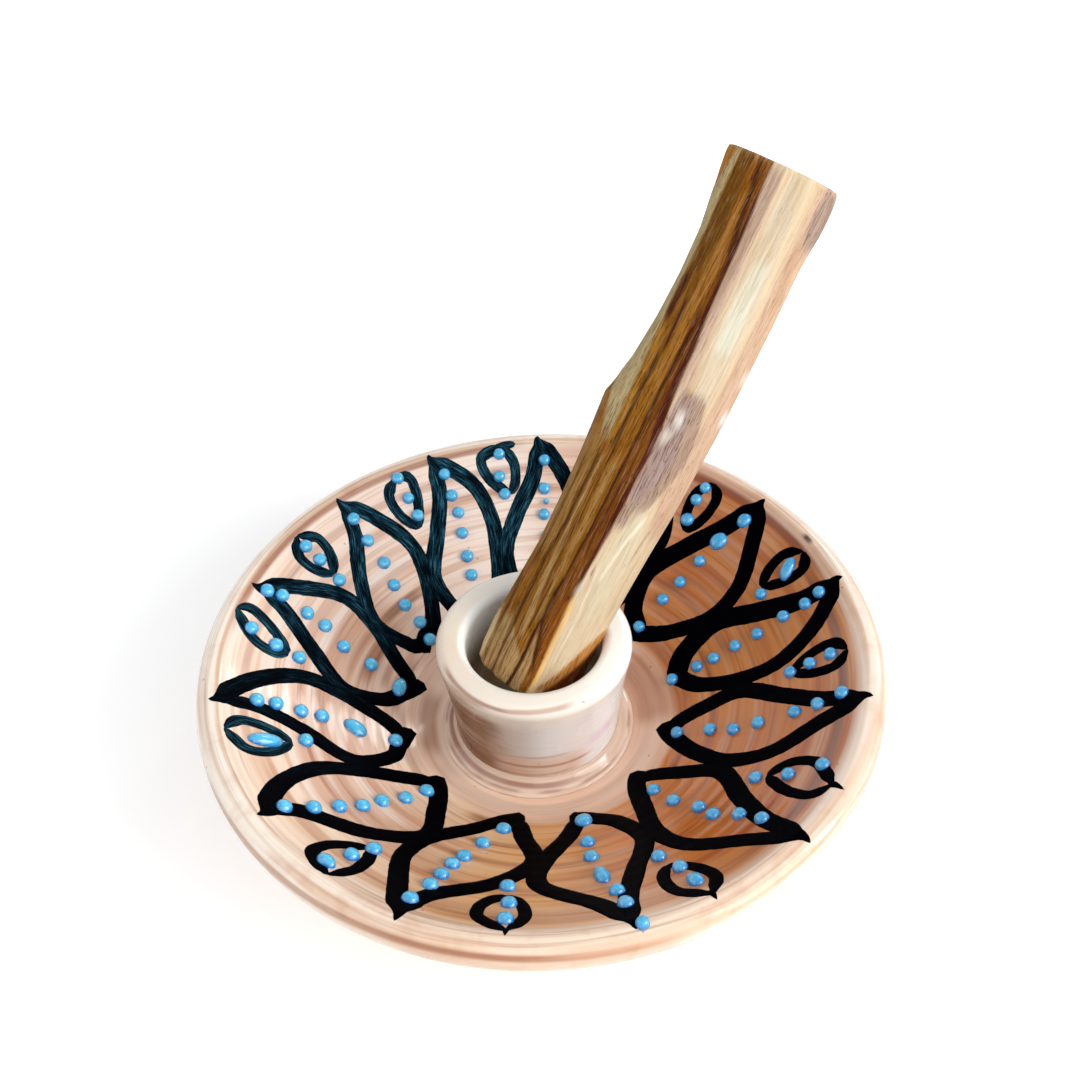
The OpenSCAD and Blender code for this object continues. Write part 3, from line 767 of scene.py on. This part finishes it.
def petalSides(root, low, high, tail):  # how the low and the high side run in at the root
    angle, near = root
    if tail > 0:  # the low side runs on into a tail
        return ([((low[3] + angle) / 2, near + 3.4), (angle + 2.5, near + 0.4)],
                [(angle + 0.25 * (high[3] - angle), near + 3.4), (angle - 3, near + 3.4)])
    if tail < 0:  # the high side does
        return ([(angle + 0.25 * (low[3] - angle), near + 3.2), (angle + 2.5, near + 2.6)],
                [((high[3] + angle) / 2, near + 3.0), (angle - 2.8, near + 0.3)])
    return ([(angle - 2.5, near + 3.0), (angle + 3.0, near + 1.5)],  # both overlap
            [(angle + 2.5, near + 3.2), (angle - 3.0, near + 2.0)])


inkMaterial = makeInk()


def addStrokes(name, pot, node):
    strokes = newPiece(name, pot.points, pot.faces, "holder", node, inkMaterial)
    addNote(strokes, "brush", "FLOAT_VECTOR", pot.brush)
    print("enamel brushed", name, len(pot.points))


pot = strokePot()
for k, (tip, root, low, high, lowWide, highWide, tail) in enumerate(petals):
    turn, out = tip
    sides = zip((low, high), (lowWide, highWide), petalSides(root, low, high, tail))
    for n, (edge, wide, ends) in enumerate(sides):
        marks = [flatPlace(*mark) for mark in [(turn, out + 0.8), *zip(edge, stations), *ends]]
        brushStroke(pot, marks, wide, 1.7 * k + 0.61 * n, "petal")
    between = (low[0] + high[0]) / 2
    marks = [flatPlace(turn, out + 1.4), flatPlace(turn, out),
             flatPlace(turn + 0.5 * (between - turn), out - 3.2)]
    brushStroke(pot, marks, strokeCut["tipFlick"], 1.7 * k + 0.9, "tipFlick")
addStrokes("petal_strokes", pot, "petal_lines")
pot = strokePot()
for k, (top, low, high, bottom) in enumerate(buds):
    head, foot = flatPlace(*top), flatPlace(*bottom)
    for n, edge in enumerate((low, high)):
        mid = flatPlace(*edge)
        belly = mid - head.lerp(foot, 0.5)
        marks = [head, mid.lerp(head, 0.5) + belly * 0.42, mid, mid.lerp(foot, 0.5) + belly * 0.2, foot]
        brushStroke(pot, marks, strokeCut["budWide"], 50 + 1.3 * k + 0.47 * n, "bud")
for k, (begin, leave) in enumerate(budFlicks):
    marks = [flatPlace(*leave), flatPlace(*leave).lerp(flatPlace(*begin), 0.5), flatPlace(*begin)]
    brushStroke(pot, marks, strokeCut["budFlick"], 90 + 1.9 * k, "budFlick")
addStrokes("bud_strokes", pot, "bud_lines")


# raised beads

beadCut = {"across": 2.75, "height": 1.25, "sink": 0.12, "rings": 9, "around": 22, "uneven": 0.07}

# beads along each petal, as (degrees, out), then shares across and along and a tilt where they differ
petalBeads = [
    (11.0, 54.9), (10.5, 52.1), (10.8, 48.1), (10.5, 43.0), (10.8, 38.8), (10.9, 34.6), (11.3, 31.4),
    (11.8, 26.5),
    (36.9, 54.0, 1.1, 1.3), (38.9, 48.7, 1.35, 1.6, -10), (39.8, 44.0), (40.6, 39.0), (41.9, 34.7),
    (42.8, 28.2),
    (63.0, 54.5), (63.5, 50.5), (64.0, 46.5), (64.4, 42.0), (65.0, 38.0), (65.5, 33.5), (66.0, 29.0),
    (86.8, 54.8), (86.8, 49.5), (86.3, 47.0, 0.5, 0.5), (86.9, 44.6), (86.0, 40.5), (85.3, 36.0),
    (84.4, 31.0),
    (109.9, 54.8), (109.9, 50.7), (109.7, 47.3), (110.6, 43.4), (111.6, 39.0), (112.6, 35.4), (114.6, 30.5),
    (133.8, 54.0), (134.3, 49.5), (134.6, 44.7), (136.6, 40.4), (138.3, 36.4), (138.6, 32.3), (140.9, 28.8),
    (161.1, 55.5), (160.0, 53.1), (160.3, 48.1), (160.6, 44.5), (163.4, 40.1), (164.4, 34.6),
    (168.0, 28.6, 1.5, 1.0),
    (188.4, 52.1), (188.1, 49.0), (188.6, 44.9), (188.8, 41.4), (190.9, 35.8, 1.1, 1.7, -35), (194.6, 29.0),
    (216.3, 53.9), (217.6, 49.5), (218.6, 45.4), (219.9, 41.6), (220.0, 37.8), (221.4, 33.6), (221.3, 29.0),
    (246.5, 54.6), (247.3, 49.6), (247.5, 46.1), (247.8, 42.6), (248.8, 39.7), (250.8, 34.6), (254.3, 29.2),
    (282.9, 59.2, 0.8, 0.8), (282.2, 53.5), (282.0, 49.6), (280.8, 44.3, 1.0, 1.9), (280.4, 38.5),
    (281.3, 34.0),
    (283.5, 27.3, 1.25, 1.25),
    (313.1, 51.2), (312.8, 47.0), (310.8, 42.9), (311.5, 39.4), (310.8, 34.1), (312.3, 28.8),
    (345.1, 54.7), (343.8, 50.9), (343.1, 47.2), (341.9, 41.1), (341.0, 36.9), (342.3, 32.6), (343.0, 26.5),
]
budBeads = [
    (20.6, 52.9, 1.05, 2.1, 30), (19.9, 47.0), (49.0, 55.6), (49.5, 53.1), (49.1, 49.3, 1.15, 1.15),
    (75.0, 55.0), (75.2, 51.5), (75.0, 47.8), (96.8, 56.5), (97.5, 52.4), (96.9, 49.0),
    (120.1, 56.8), (119.9, 52.8), (119.8, 49.3), (146.8, 55.3), (146.8, 52.1), (147.3, 47.4),
    (171.1, 55.0), (172.4, 50.5), (172.9, 46.3), (198.8, 51.6, 1.0, 2.3), (197.6, 44.9),
    (231.0, 55.9, 1.3, 0.9), (231.9, 51.6), (232.8, 47.6), (262.5, 55.0), (262.4, 50.6), (261.3, 45.9),
    (294.5, 54.0, 1.0, 1.4), (294.8, 49.4), (293.6, 44.5), (327.9, 54.8), (325.4, 49.9), (324.0, 44.7),
    (355.5, 53.2), (355.3, 49.8), (355.0, 46.4),
]


def dropBeads(rows, seed):
    c, rings, around = beadCut, beadCut["rings"], beadCut["around"]
    points, faces, drop = [], [], []
    for k, row in enumerate(rows):
        degrees, out, wide, long, tilt = row + (1.0, 1.0, 0.0)[len(row) - 2:]
        place, level, uphill, normal = bowlFrame(degrees, out)
        cos, sin = math.cos(math.radians(tilt)), math.sin(math.radians(tilt))
        level, uphill = level * cos - uphill * sin, uphill * cos + level * sin
        swell = 1 + 0.06 * wave(k * 1.7, seed) + 0.07 * math.cos(math.radians(degrees - 205))
        size = c["across"] / 2 * swell
        lean = Vector((wave(k * 2.3, seed, 1.0), wave(k * 3.1, seed, 2.0))) * 0.12
        right = math.cos(math.radians(degrees - 10))  # painted shade: darker on the right
        shade = 0.12 + 0.3 * wave(k * 0.9, seed, 4.0) + 0.6 * (0.5 + 0.5 * right)
        first, peak = len(points), c["height"]
        for i in range(rings):
            bend = math.pi / 2 * i / rings
            reach, up = size * math.cos(bend) ** 0.8, peak * math.sin(bend) ** 1.05
            if i == 0:
                up = -c["sink"]
            for j in range(around):
                spin = 2 * math.pi * j / around
                cos, sin = math.cos(spin), math.sin(spin)
                bulge = reach * (1 + c["uneven"] * wave(cos * 1.1 + k, sin * 1.1, seed))
                x, y = bulge * cos * wide + lean.x * up, bulge * sin * long + lean.y * up
                points.append((place + level * x + uphill * y + normal * up) * mm)
                drop.append((shade, i / rings, 0))
        points.append((place + level * lean.x * peak + uphill * lean.y * peak + normal * peak) * mm)
        drop.append((shade, 1.0, 0))
        faces += bandFaces(rings, around, first)
        last = first + (rings - 1) * around
        faces += [(last + j, last + (j + 1) % around, last + around) for j in range(around)]
        faces.append(tuple(first + j for j in range(around))[::-1])
    return points, faces, drop


beadLook = {"blue": (74, 198, 242), "deep": (20, 124, 198), "pale": (150, 224, 250)}


def makeBeadEnamel():
    material, tree, shader, look = newMaterial("beadEnamel", beadLook)
    parts = splitUp(tree, readNote(tree, "drop")["Vector"])
    place = addNode(tree, "TexCoord").outputs["Object"]
    milk = cloud(tree, place, 900.0)
    # painted shade: deeper blue towards the foot of each bead, and on the beads on the right
    colour = tint(tree, fade(tree, parts["Y"], 0.75, 0.05), look["blue"], look["deep"])
    colour = tint(tree, times(tree, fade(tree, milk, 0.45, 0.7), 0.4), colour, look["pale"])
    colour = tint(tree, calc(tree, "MULTIPLY", parts["X"], 0.7, clamp=True), colour, look["deep"])
    plug(tree, shader, Base_Color=colour, Roughness=calc(tree, "MULTIPLY_ADD", milk, 0.15, 0.2),
         Coat_Weight=1.0, Coat_Roughness=0.06,
         Normal=bumps(tree, cloud(tree, place, 2400.0), 0.06, 0.0001))
    return material


beadMaterial = makeBeadEnamel()
for name, rows, node, seed in (("petal_dots", petalBeads, "petal_beads", 3.0),
                               ("bud_dots", budBeads, "bud_beads", 8.0)):
    points, faces, drop = dropBeads(rows, seed)
    dots = newPiece(name, points, faces, "holder", node, beadMaterial)
    addNote(dots, "drop", "FLOAT_VECTOR", drop)
    print("beads dropped", name, len(rows))


# split stick

stickCut = {
    "seat": (-2.72, -4.05, 22.04), "lean": 37.5, "turn": 41.0, "spin": -58.5, "length": 101.0,
    "slant": 0.12, "jag": 0.9, "endRings": 9, "endDish": 0.18,  # lower end, and both ends
    "around": 220, "along": 240, "fibre": 0.1, "fine": 0.05, "richness": 1.15,
    "flareRight": 1.0, "flareLeft": 0.4,  # the upper end widens
}

# strands as colour, strength, depth in mm, then rows of height along the stick with left and right edge
strands = [
    ((216, 197, 168), 1.0, 0.0, [(0, -20, 20), (101, -20, 20)]),
    ((140, 94, 38), 1.0, 0.0, [(0, -20, 0.5), (15, -20, 0.4), (25, -20, 0.3), (30, -20, 0.8),
                               (35, -20, 1.1), (45, -20, 1.3), (50, -20, 1.4), (55, -20, 1.3),
                               (60, -20, 0.85), (70, -20, 0.0), (80, -20, -0.6), (90, -20, -0.9),
                               (101, -20, -1.6)]),
    ((120, 70, 18), 0.9, 0.0, [(4, -1.0, 0.5), (15, -2.2, 0.4), (25, -2.2, 0.3), (35, -2.0, 1.1),
                               (45, -2.0, 1.3), (55, -1.6, 1.3), (65, -1.5, 0.3), (72, -1.9, -0.1),
                               (85, -1.8, -0.7), (101, -2.6, -1.6)]),
    ((110, 72, 20), 0.9, -0.05, [(80, -6.8, -4.8), (88, -7.0, -4.4), (101, -7.2, -4.8)]),
    ((130, 80, 28), 0.7, 0.0, [(84, -4.4, -1.8), (92, -4.4, -2.0), (101, -4.8, -2.4)]),
    ((160, 112, 58), 0.75, 0.05, [(60, -3.4, -2.2), (75, -4.0, -2.2), (85, -4.1, -2.0),
                                  (94, -4.2, -3.2)]),
    ((186, 170, 132), 0.95, 0.1, [(49, -7.8, -6.3), (57, -9.6, -6.4), (62, -9.8, -6.6), (70, -9.6, -6.7),
                                  (85, -9.6, -6.9), (95, -8.8, -7.2), (101, -8.1, -7.3)]),
    ((176, 120, 54), 0.85, 0.0, [(94, -12, -8.6), (101, -12, -8.0)]),
    ((182, 132, 64), 0.7, 0.08, [(48, -6.2, -5.5), (62, -6.2, -5.4), (70, -6.6, -5.6)]),
    ((146, 100, 34), 0.7, 0.0, [(48, -12, -9.2), (56, -12, -9.4)]),
    ((166, 130, 80), 0.7, 0.06, [(26, -10.2, -7.3), (40, -10, -7.0), (50, -9.6, -7.2)]),
    ((182, 150, 104), 0.75, 0.06, [(10, -5.6, -4.6), (25, -6.2, -5.2), (35, -6.2, -5.6),
                                   (46, -6.1, -5.6)]),
    ((178, 146, 98), 0.6, 0.05, [(14, -4.2, -3.5), (30, -3.9, -3.2), (46, -3.6, -3.0)]),
    ((180, 152, 110), 0.75, 0.0, [(-2, -10.5, -3.2), (6, -10.2, -3.2), (12, -9.4, -7.6)]),
    ((176, 146, 104), 0.95, 0.08, [(-1, -3.1, -0.6), (5, -2.8, -1.0), (9, -2.7, -1.6),
                                   (13.5, -2.6, -2.4)]),
    ((152, 92, 24), 0.8, 0.0, [(2, -0.4, 0.5), (10, -0.7, 0.5), (20, -0.8, 0.3)]),
    ((216, 196, 156), 0.9, 0.05, [(0, -12, -10.1), (8, -12, -10.0), (12, -12, -10.3)]),
    # dark lines of the grain
    ((72, 40, 8), 0.95, -0.25, [(0, -7.3, -6.8), (15, -7.6, -7.0), (25, -7.3, -6.8), (35, -6.9, -6.4),
                                (46, -6.9, -6.4)]),
    ((60, 26, 2), 0.95, -0.3, [(-1, -3.7, -3.2), (5, -3.4, -2.9), (12, -3.3, -2.8), (20, -3.0, -2.3),
                               (25, -2.6, -2.2), (35, -2.3, -1.9), (46, -2.2, -1.8), (60, -2.1, -1.7),
                               (72, -1.9, -1.4)]),
    ((68, 30, 4), 0.9, -0.15, [(5.5, -0.7, 0.0), (9, -1.6, -0.9), (15.5, -3.0, -2.4)]),
    ((70, 38, 6), 0.9, -0.15, [(48, -5.3, -4.8), (66, -5.0, -4.5)]),
    ((74, 40, 8), 0.85, -0.14, [(18, -5.1, -4.7), (34, -4.9, -4.6), (50, -4.6, -4.3)]),
    ((72, 36, 4), 0.9, -0.12, [(84, -1.8, -0.9), (92, -2.9, -2.1), (101, -3.9, -3.3)]),
    ((82, 48, 12), 0.85, -0.14, [(12, -4.4, -4.0), (22, -4.2, -3.8)]),
    ((84, 50, 14), 0.85, -0.14, [(22, -8.9, -8.4), (45, -8.5, -8.2)]),
    ((76, 42, 12), 0.9, -0.18, [(2, -9.5, -9.0), (20, -10.0, -9.5)]),
    ((84, 50, 16), 0.8, -0.12, [(2, -6.2, -5.9), (14, -6.0, -5.7)]),
    ((82, 48, 14), 0.8, -0.12, [(0, -8.3, -8.0), (18, -8.5, -8.2)]),
    ((72, 38, 6), 0.8, -0.12, [(30, -1.2, -0.8), (44, -1.1, -0.7)]),
    ((72, 24, 4), 0.95, -0.1, [(24, 0.0, 0.4), (32, 0.3, 0.9), (40, 0.4, 1.3), (50, 0.4, 1.45),
                               (58, -0.4, 1.0), (66, -0.7, 0.25), (75, -1.1, -0.3), (85, -1.4, -0.65),
                               (95, -1.7, -1.2)]),
    ((78, 30, 6), 0.9, -0.08, [(71.5, -6.8, -5.8), (80, -6.8, -5.7)]),
    ((78, 28, 6), 0.9, -0.08, [(67, -4.8, -4.2), (76, -4.9, -4.3)]),
    ((84, 34, 6), 0.9, -0.08, [(69, -1.9, -1.3), (75, -2.1, -1.2)]),
    # pale side
    ((212, 197, 174), 0.85, 0.0, [(60, 4.0, 6.5), (68, 2.6, 6.6), (78, 1.8, 6.6), (92, 1.6, 5.6),
                                  (98, 2.0, 4.0)]),
    ((220, 222, 206), 0.6, 0.0, [(70, 3.0, 6.0), (78, 2.6, 5.8), (86, 3.2, 5.4)]),
    ((200, 168, 146), 0.8, 0.0, [(36, 7.6, 12), (45, 6.0, 12), (55, 7.0, 12), (65, 7.6, 12),
                                 (80, 7.4, 12), (92, 7.0, 12), (101, 6.8, 12)]),
    ((158, 138, 130), 0.85, 0.0, [(91, 8.6, 12), (96, 8.0, 12), (101, 8.2, 12)]),
    ((194, 166, 150), 0.75, 0.0, [(62, 0.6, 2.4), (72, 0.0, 1.8), (85, -0.6, 1.4), (100, -1.6, 0.6)]),
    ((158, 134, 120), 0.85, 0.0, [(36, 1.2, 3.0), (42, 1.5, 5.6), (50, 1.6, 7.4), (56, 1.6, 7.2),
                                  (62, 1.4, 6.0)]),
    ((164, 144, 140), 0.85, -0.05, [(41, 1.5, 3.2), (48, 1.5, 5.4), (54, 1.4, 5.2), (61, 1.5, 4.4)]),
    ((232, 230, 222), 0.85, 0.0, [(56, 2.6, 4.2), (58.5, 2.4, 3.8)]),
    ((216, 210, 200), 0.8, 0.0, [(52.5, 1.8, 3.0), (55, 1.8, 3.4)]),
    ((216, 206, 180), 0.6, 0.0, [(18, 2.6, 5.4), (30, 2.6, 6.6), (40, 3.0, 6.0)]),
    ((246, 238, 216), 0.7, 0.05, [(26, 3.0, 3.5), (33, 3.8, 4.4), (39, 5.2, 5.8)]),
    ((246, 236, 214), 0.6, 0.05, [(8, 2.2, 2.7), (18, 2.4, 2.9), (28, 2.0, 2.5)]),
    ((244, 204, 140), 0.8, 0.0, [(2, 0.5, 1.5), (12, 0.5, 1.2), (21, 0.3, 1.0)]),
    ((164, 140, 122), 0.6, -0.1, [(30, 6.4, 6.7), (38, 7.2, 7.5)]),
    ((238, 236, 234), 0.9, 0.1, [(59.0, 9.6, 10.5), (61.0, 9.6, 10.5)]),
    ((232, 224, 212), 0.8, 0.1, [(66.6, 9.7, 10.5), (68.4, 9.7, 10.5)]),
    ((120, 112, 104), 0.8, -0.12, [(26.3, 1.3, 1.7), (27.7, 1.3, 1.7)]),
    ((60, 40, 30), 0.9, -0.2, [(24.2, 0.1, 0.6), (25.3, 0.1, 0.6)]),
    ((206, 196, 188), 0.9, 0.0, [(22.6, 0.0, 1.0), (23.8, 0.2, 1.1)]),
    # dark edge low on the right, towards the underside
    ((184, 118, 46), 0.85, 0.0, [(2.5, 1.6, 14), (6, 3.6, 14), (11, 5.6, 14), (16, 7.6, 14),
                                 (18, 9.0, 14)]),
    ((84, 36, 6), 0.95, 0.0, [(1.0, 2.0, 14), (4.5, 4.2, 14), (8, 6.2, 14), (14, 8.2, 14),
                              (16, 9.6, 14)]),
]


def paintStrands(x, z):  # lays the strands one over another; also gives the groove depth
    paint = np.tile(shadeOf(strands[0][0]), (len(x), 1))
    depth, blur = np.zeros(len(x)), 1.5  # strands fade in and out along the stick
    for colour, strength, deep, rows in strands[1:]:
        heights, lefts, rights = (np.array(column, dtype=float) for column in zip(*rows))
        left, right = np.interp(z, heights, lefts), np.interp(z, heights, rights)
        soft = 0.14 + 0.06 * np.minimum(6, right - left)
        weight = smooth(left - soft, left + soft, x) * (1 - smooth(right - soft, right + soft, x))
        weight = weight * smooth(heights[0] - blur, heights[0] + blur, z)
        weight = weight * (1 - smooth(heights[-1] - blur, heights[-1] + blur, z)) * strength
        layOver(paint, shadeOf(colour), weight)
        depth += deep * weight
    grey = paint.mean(axis=1, keepdims=True)
    return np.clip(grey + (paint - grey) * stickCut["richness"], 0, 1), depth


def makeStick():
    c, around, along, length = stickCut, stickCut["around"], stickCut["along"], stickCut["length"]
    place = Matrix.Translation(Vector(c["seat"]))
    for angle, axis in ((c["turn"], "Z"), (c["lean"], "Y"), (c["spin"], "Z")):
        place = place @ Matrix.Rotation(math.radians(angle), 4, axis)
    back, node = place.inverted(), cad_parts["palo_santo_stick"].data
    tree = BVHTree.FromPolygons([back @ (v.co / mm) for v in node.vertices],
                                [p.vertices for p in node.polygons])
    clear = 40.0  # well outside the stick

    def reach(spin, z):
        ray = Vector((math.cos(spin), math.sin(spin), 0))
        hit = tree.ray_cast(Vector((0, 0, z)) + ray * clear, -ray)[0]
        return clear if hit is None else math.hypot(hit.x, hit.y)
    spins, starts = [2 * math.pi * j / around for j in range(around)], []
    for spin in spins:
        z = 0.0
        for _ in range(4):
            z = -c["slant"] * reach(spin, max(z, -0.9) + 0.15) * math.cos(spin)
        jag = c["jag"] * max(0.0, wave(math.cos(spin) * 4.5, math.sin(spin) * 4.5, 1.5))
        starts.append(z + 0.06 + jag * ease(0.2, -0.6, math.cos(spin)))
    skin = []  # spin, height, distance from the stick's middle line, roughness, wandering of the strands
    for i in range(along + 1):
        for spin, start in zip(spins, starts):
            z = start + (length - 0.05 - start) * i / along
            far = reach(spin, min(max(z, start + 0.1), length - 0.1))
            right, left = ease(0.3, 0.9, math.cos(spin)), ease(0.5, 0.9, -math.cos(spin))
            far += (c["flareRight"] * right + c["flareLeft"] * left) * ease(86, 99, z)
            x, y = math.cos(spin) * 8.5, math.sin(spin) * 8.5
            ridge, hair = wave(x * 0.9, y * 0.9, z * 0.035), wave(x * 2.6, y * 2.6, z * 0.07 + 9)
            rough = c["fibre"] * (0.6 + ridge) + c["fine"] * (0.6 + hair)
            rough += 0.25 * math.exp(-max(0.0, min(z - start, length - z)) / 0.5)  # worn ends
            skin.append((spin, z, far, rough, 0.22 * wave(x * 0.7, y * 0.7, z * 0.11 + 4)))
    spin, z, far, rough, sway = np.array(skin).T
    depth = paintStrands(far * np.cos(spin) + sway, z)[1]
    depth[np.sin(spin) > 0.2] = 0
    far = far + np.minimum(0, depth - rough)
    grain = [Vector(p) for p in np.stack([far * np.cos(spin), far * np.sin(spin), z], axis=1)]
    faces = bandFaces(along + 1, around)
    for start, lift in ((0, c["endDish"]), (along * around, -c["endDish"])):  # dished, rough end grain
        ring, edge = [start + j for j in range(around)], grain[start:start + around]
        middle, order = sum(edge, Vector()) / around, -1 if start == 0 else 1
        for k in range(1, c["endRings"]):
            share, new = k / c["endRings"], [len(grain) + j for j in range(around)]
            for point in edge:
                spot = point.lerp(middle, share)
                spot.z += lift * (0.5 + wave(spot.x * 0.9, spot.y * 0.9, start + 3.0)) * min(1, share * 4)
                grain.append(spot)
            for j in range(around):
                faces.append((ring[j], ring[(j + 1) % around], new[(j + 1) % around], new[j])[::order])
            ring = new
        grain.append(middle)
        faces += [(ring[j], ring[(j + 1) % around], len(grain) - 1)[::order] for j in range(around)]
    spots = np.array([tuple(p) for p in grain])
    sway = np.concatenate([sway, np.zeros(len(spots) - len(sway))])
    tones = paintStrands(spots[:, 0] + sway, spots[:, 2])[0]
    heart = 1 - smooth(0.3, 0.55, tones.mean(axis=1))
    return [(place @ p) * mm for p in grain], faces, spots, np.hstack([tones, heart[:, None]])


woodLook = {"pore": (120, 78, 36), "dark": (150, 108, 66), "haze": (226, 208, 190),
            "light": (255, 240, 210)}


def makeWood():
    material, tree, shader, look = newMaterial("splitWood", woodLook)
    paint, parts = readNote(tree, "strand"), splitUp(tree, readNote(tree, "grain")["Vector"])
    long, short = (joinUp(tree, parts["X"], parts["Y"], times(tree, parts["Z"], share))
                   for share in (0.05, 0.22))
    bands, fibres = cloud(tree, long, 1.1, 3.0, 0.6), cloud(tree, long, 4.5, 3.0, 0.65)
    pores = cloud(tree, short, 3.4, 2.0, 0.6)
    heart = fade(tree, paint["Alpha"], 0.0, 1.0, 0.22, 1.0)  # the pale side has little figure
    colour = tint(tree, fade(tree, bands, 0.42, 0.68, 0.0, 0.55), paint["Color"], look["haze"], "MULTIPLY")
    for value, low, high, most, tone, mode in ((fibres, 0.48, 0.66, 0.7, "dark", "MULTIPLY"),
                                               (fibres, 0.47, 0.3, 0.1, "light", "SCREEN"),
                                               (pores, 0.6, 0.72, 0.7, "pore", "MULTIPLY")):
        share = times(tree, fade(tree, value, low, high, 0.0, most), heart)
        colour = tint(tree, share, colour, look[tone], mode)
    height = calc(tree, "MULTIPLY_ADD", fibres, -1.0, times(tree, pores, -0.6))
    plug(tree, shader, Base_Color=colour, Roughness=calc(tree, "MULTIPLY_ADD", fibres, 0.25, 0.55),
         Specular_IOR_Level=0.15, Normal=bumps(tree, height, 0.35, 0.0003))
    return material


points, faces, grain, colours = makeStick()
stick = newPiece("split_stick", points, faces, "stick", "palo_santo_stick", makeWood())
addNote(stick, "grain", "FLOAT_VECTOR", grain)
addNote(stick, "strand", "FLOAT_COLOR", colours)
print("stick split", len(points))


# floor, light and camera

studio = {
    "ambient": 0.52, "keyLight": 4.8, "fillLight": 1.4, "leftLight": 0.95, "strip": 8.0,
    "floor": 0.9, "floorGlow": 0.3, "farGlow": 0.8, "glowFrom": 0.1, "glowTo": 0.4,  # whiter further off
    "sweep": 3.0, "sweepRound": 0.6, "sweepTop": 1.6, "sweepSegments": 72,
}


def makeFloor():
    s, segments = studio, studio["sweepSegments"]
    profile = [(0.2, 0.0), (0.6, 0.0), (1.5, 0.0)]
    for angle in spread(0, 90, 10):
        bend = math.radians(angle)
        profile.append((s["sweep"] - s["sweepRound"] + s["sweepRound"] * math.sin(bend),
                        s["sweepRound"] - s["sweepRound"] * math.cos(bend)))
    profile.append((s["sweep"], s["sweepTop"]))
    turns = [2 * math.pi * k / segments for k in range(segments)]
    points = [(out * math.cos(turn), out * math.sin(turn), height)
              for out, height in profile for turn in turns]
    faces = [(len(points), k, (k + 1) % segments) for k in range(segments)]
    faces += bandFaces(len(profile), segments, flip=True)
    mesh = bpy.data.meshes.new("studio_sweep")
    mesh.from_pydata(points + [(0, 0, 0)], [], faces)
    mesh.shade_smooth()
    floor = bpy.data.objects.new("studio_sweep", mesh)
    scene.collection.objects.link(floor)
    material, tree, shader, _ = newMaterial("studioFloor", {})
    rays = addNode(tree, "LightPath").outputs
    seen = calc(tree, "MAXIMUM", rays["Is Camera Ray"], rays["Is Glossy Ray"])
    seen = calc(tree, "MAXIMUM", seen, rays["Is Transmission Ray"])
    away = onVector(tree, "LENGTH", addNode(tree, "TexCoord").outputs["Object"]).outputs["Value"]
    glow = fade(tree, away, s["glowFrom"], s["glowTo"], s["floorGlow"], s["farGlow"])
    plug(tree, shader, Base_Color=(s["floor"], s["floor"], s["floor"], 1), Roughness=0.9,
         Specular_IOR_Level=0.0, Emission_Color=(1, 1, 1, 1), Emission_Strength=times(tree, seen, glow))
    mesh.materials.append(material)


def softBox(name, place, aimUp, width, height, radiance, colour):
    lamp = bpy.data.lights.new(name, "AREA")
    lamp.shape = "RECTANGLE"
    lamp.size, lamp.size_y = width, height
    lamp.energy = radiance * math.pi * width * height
    lamp.color = colour
    box = bpy.data.objects.new(name, lamp)
    box.location = place
    box.rotation_euler = (Vector(place) - Vector((0, 0, aimUp))).to_track_quat("Z", "Y").to_euler()
    box.visible_camera = False
    scene.collection.objects.link(box)


makeFloor()
warm, cool, plain = (1.0, 0.99, 0.975), (0.97, 0.985, 1.0), (1.0, 1.0, 1.0)
softBox("window_light", (0.64, -0.32, 0.42), 0.03, 0.5, 0.5, studio["keyLight"], warm)
softBox("front_fill", (0.28, -0.63, 0.50), 0.03, 0.7, 0.7, studio["fillLight"], cool)
softBox("left_fill", (-0.62, -0.12, 0.42), 0.03, 0.7, 0.6, studio["leftLight"], cool)
softBox("side_strip", (0.64, -0.14, 0.31), 0.02, 0.09, 0.32, studio["strip"], plain)
softBox("back_strip", (0.42, 0.66, 0.44), 0.02, 0.12, 0.12, studio["strip"], plain)
world = bpy.data.worlds.new("studioAir")
world.use_nodes = True
plug(world.node_tree, world.node_tree.nodes["Background"], Color=(*cool, 1), Strength=studio["ambient"])
scene.world = world
print("studio lit")

photoView = {"target": (0, 0, 0.0279), "distance": 0.22115, "elevation": 48.244, "pitch": 5.186,
             "yaw": 0.285, "roll": 2.83, "lens": 39.83, "sensor": 36.0}


def placeCamera():
    v = photoView
    rise = math.radians(v["elevation"])
    ahead, right = Vector((0, math.cos(rise), -math.sin(rise))), Vector((1, 0, 0))
    roll, pitch, yaw = (Matrix.Rotation(math.radians(angle), 3, axis)
                        for angle, axis in ((v["roll"], "Z"), (v["pitch"], "X"), (-v["yaw"], "Y")))
    turn = (roll @ pitch @ yaw) @ Matrix((right, right.cross(ahead), ahead))
    axes = Matrix((turn[0], turn[1], -turn[2])).transposed().to_4x4()
    camera = bpy.data.cameras.new("photo_camera")
    camera.lens, camera.sensor_width = v["lens"], v["sensor"]
    camera.clip_start, camera.clip_end = 0.01, 20
    stand = bpy.data.objects.new("photo_camera", camera)
    stand.matrix_world = Matrix.Translation(Vector(v["target"]) - ahead * v["distance"]) @ axes
    scene.collection.objects.link(stand)
    scene.camera = stand


placeCamera()
print("camera placed")
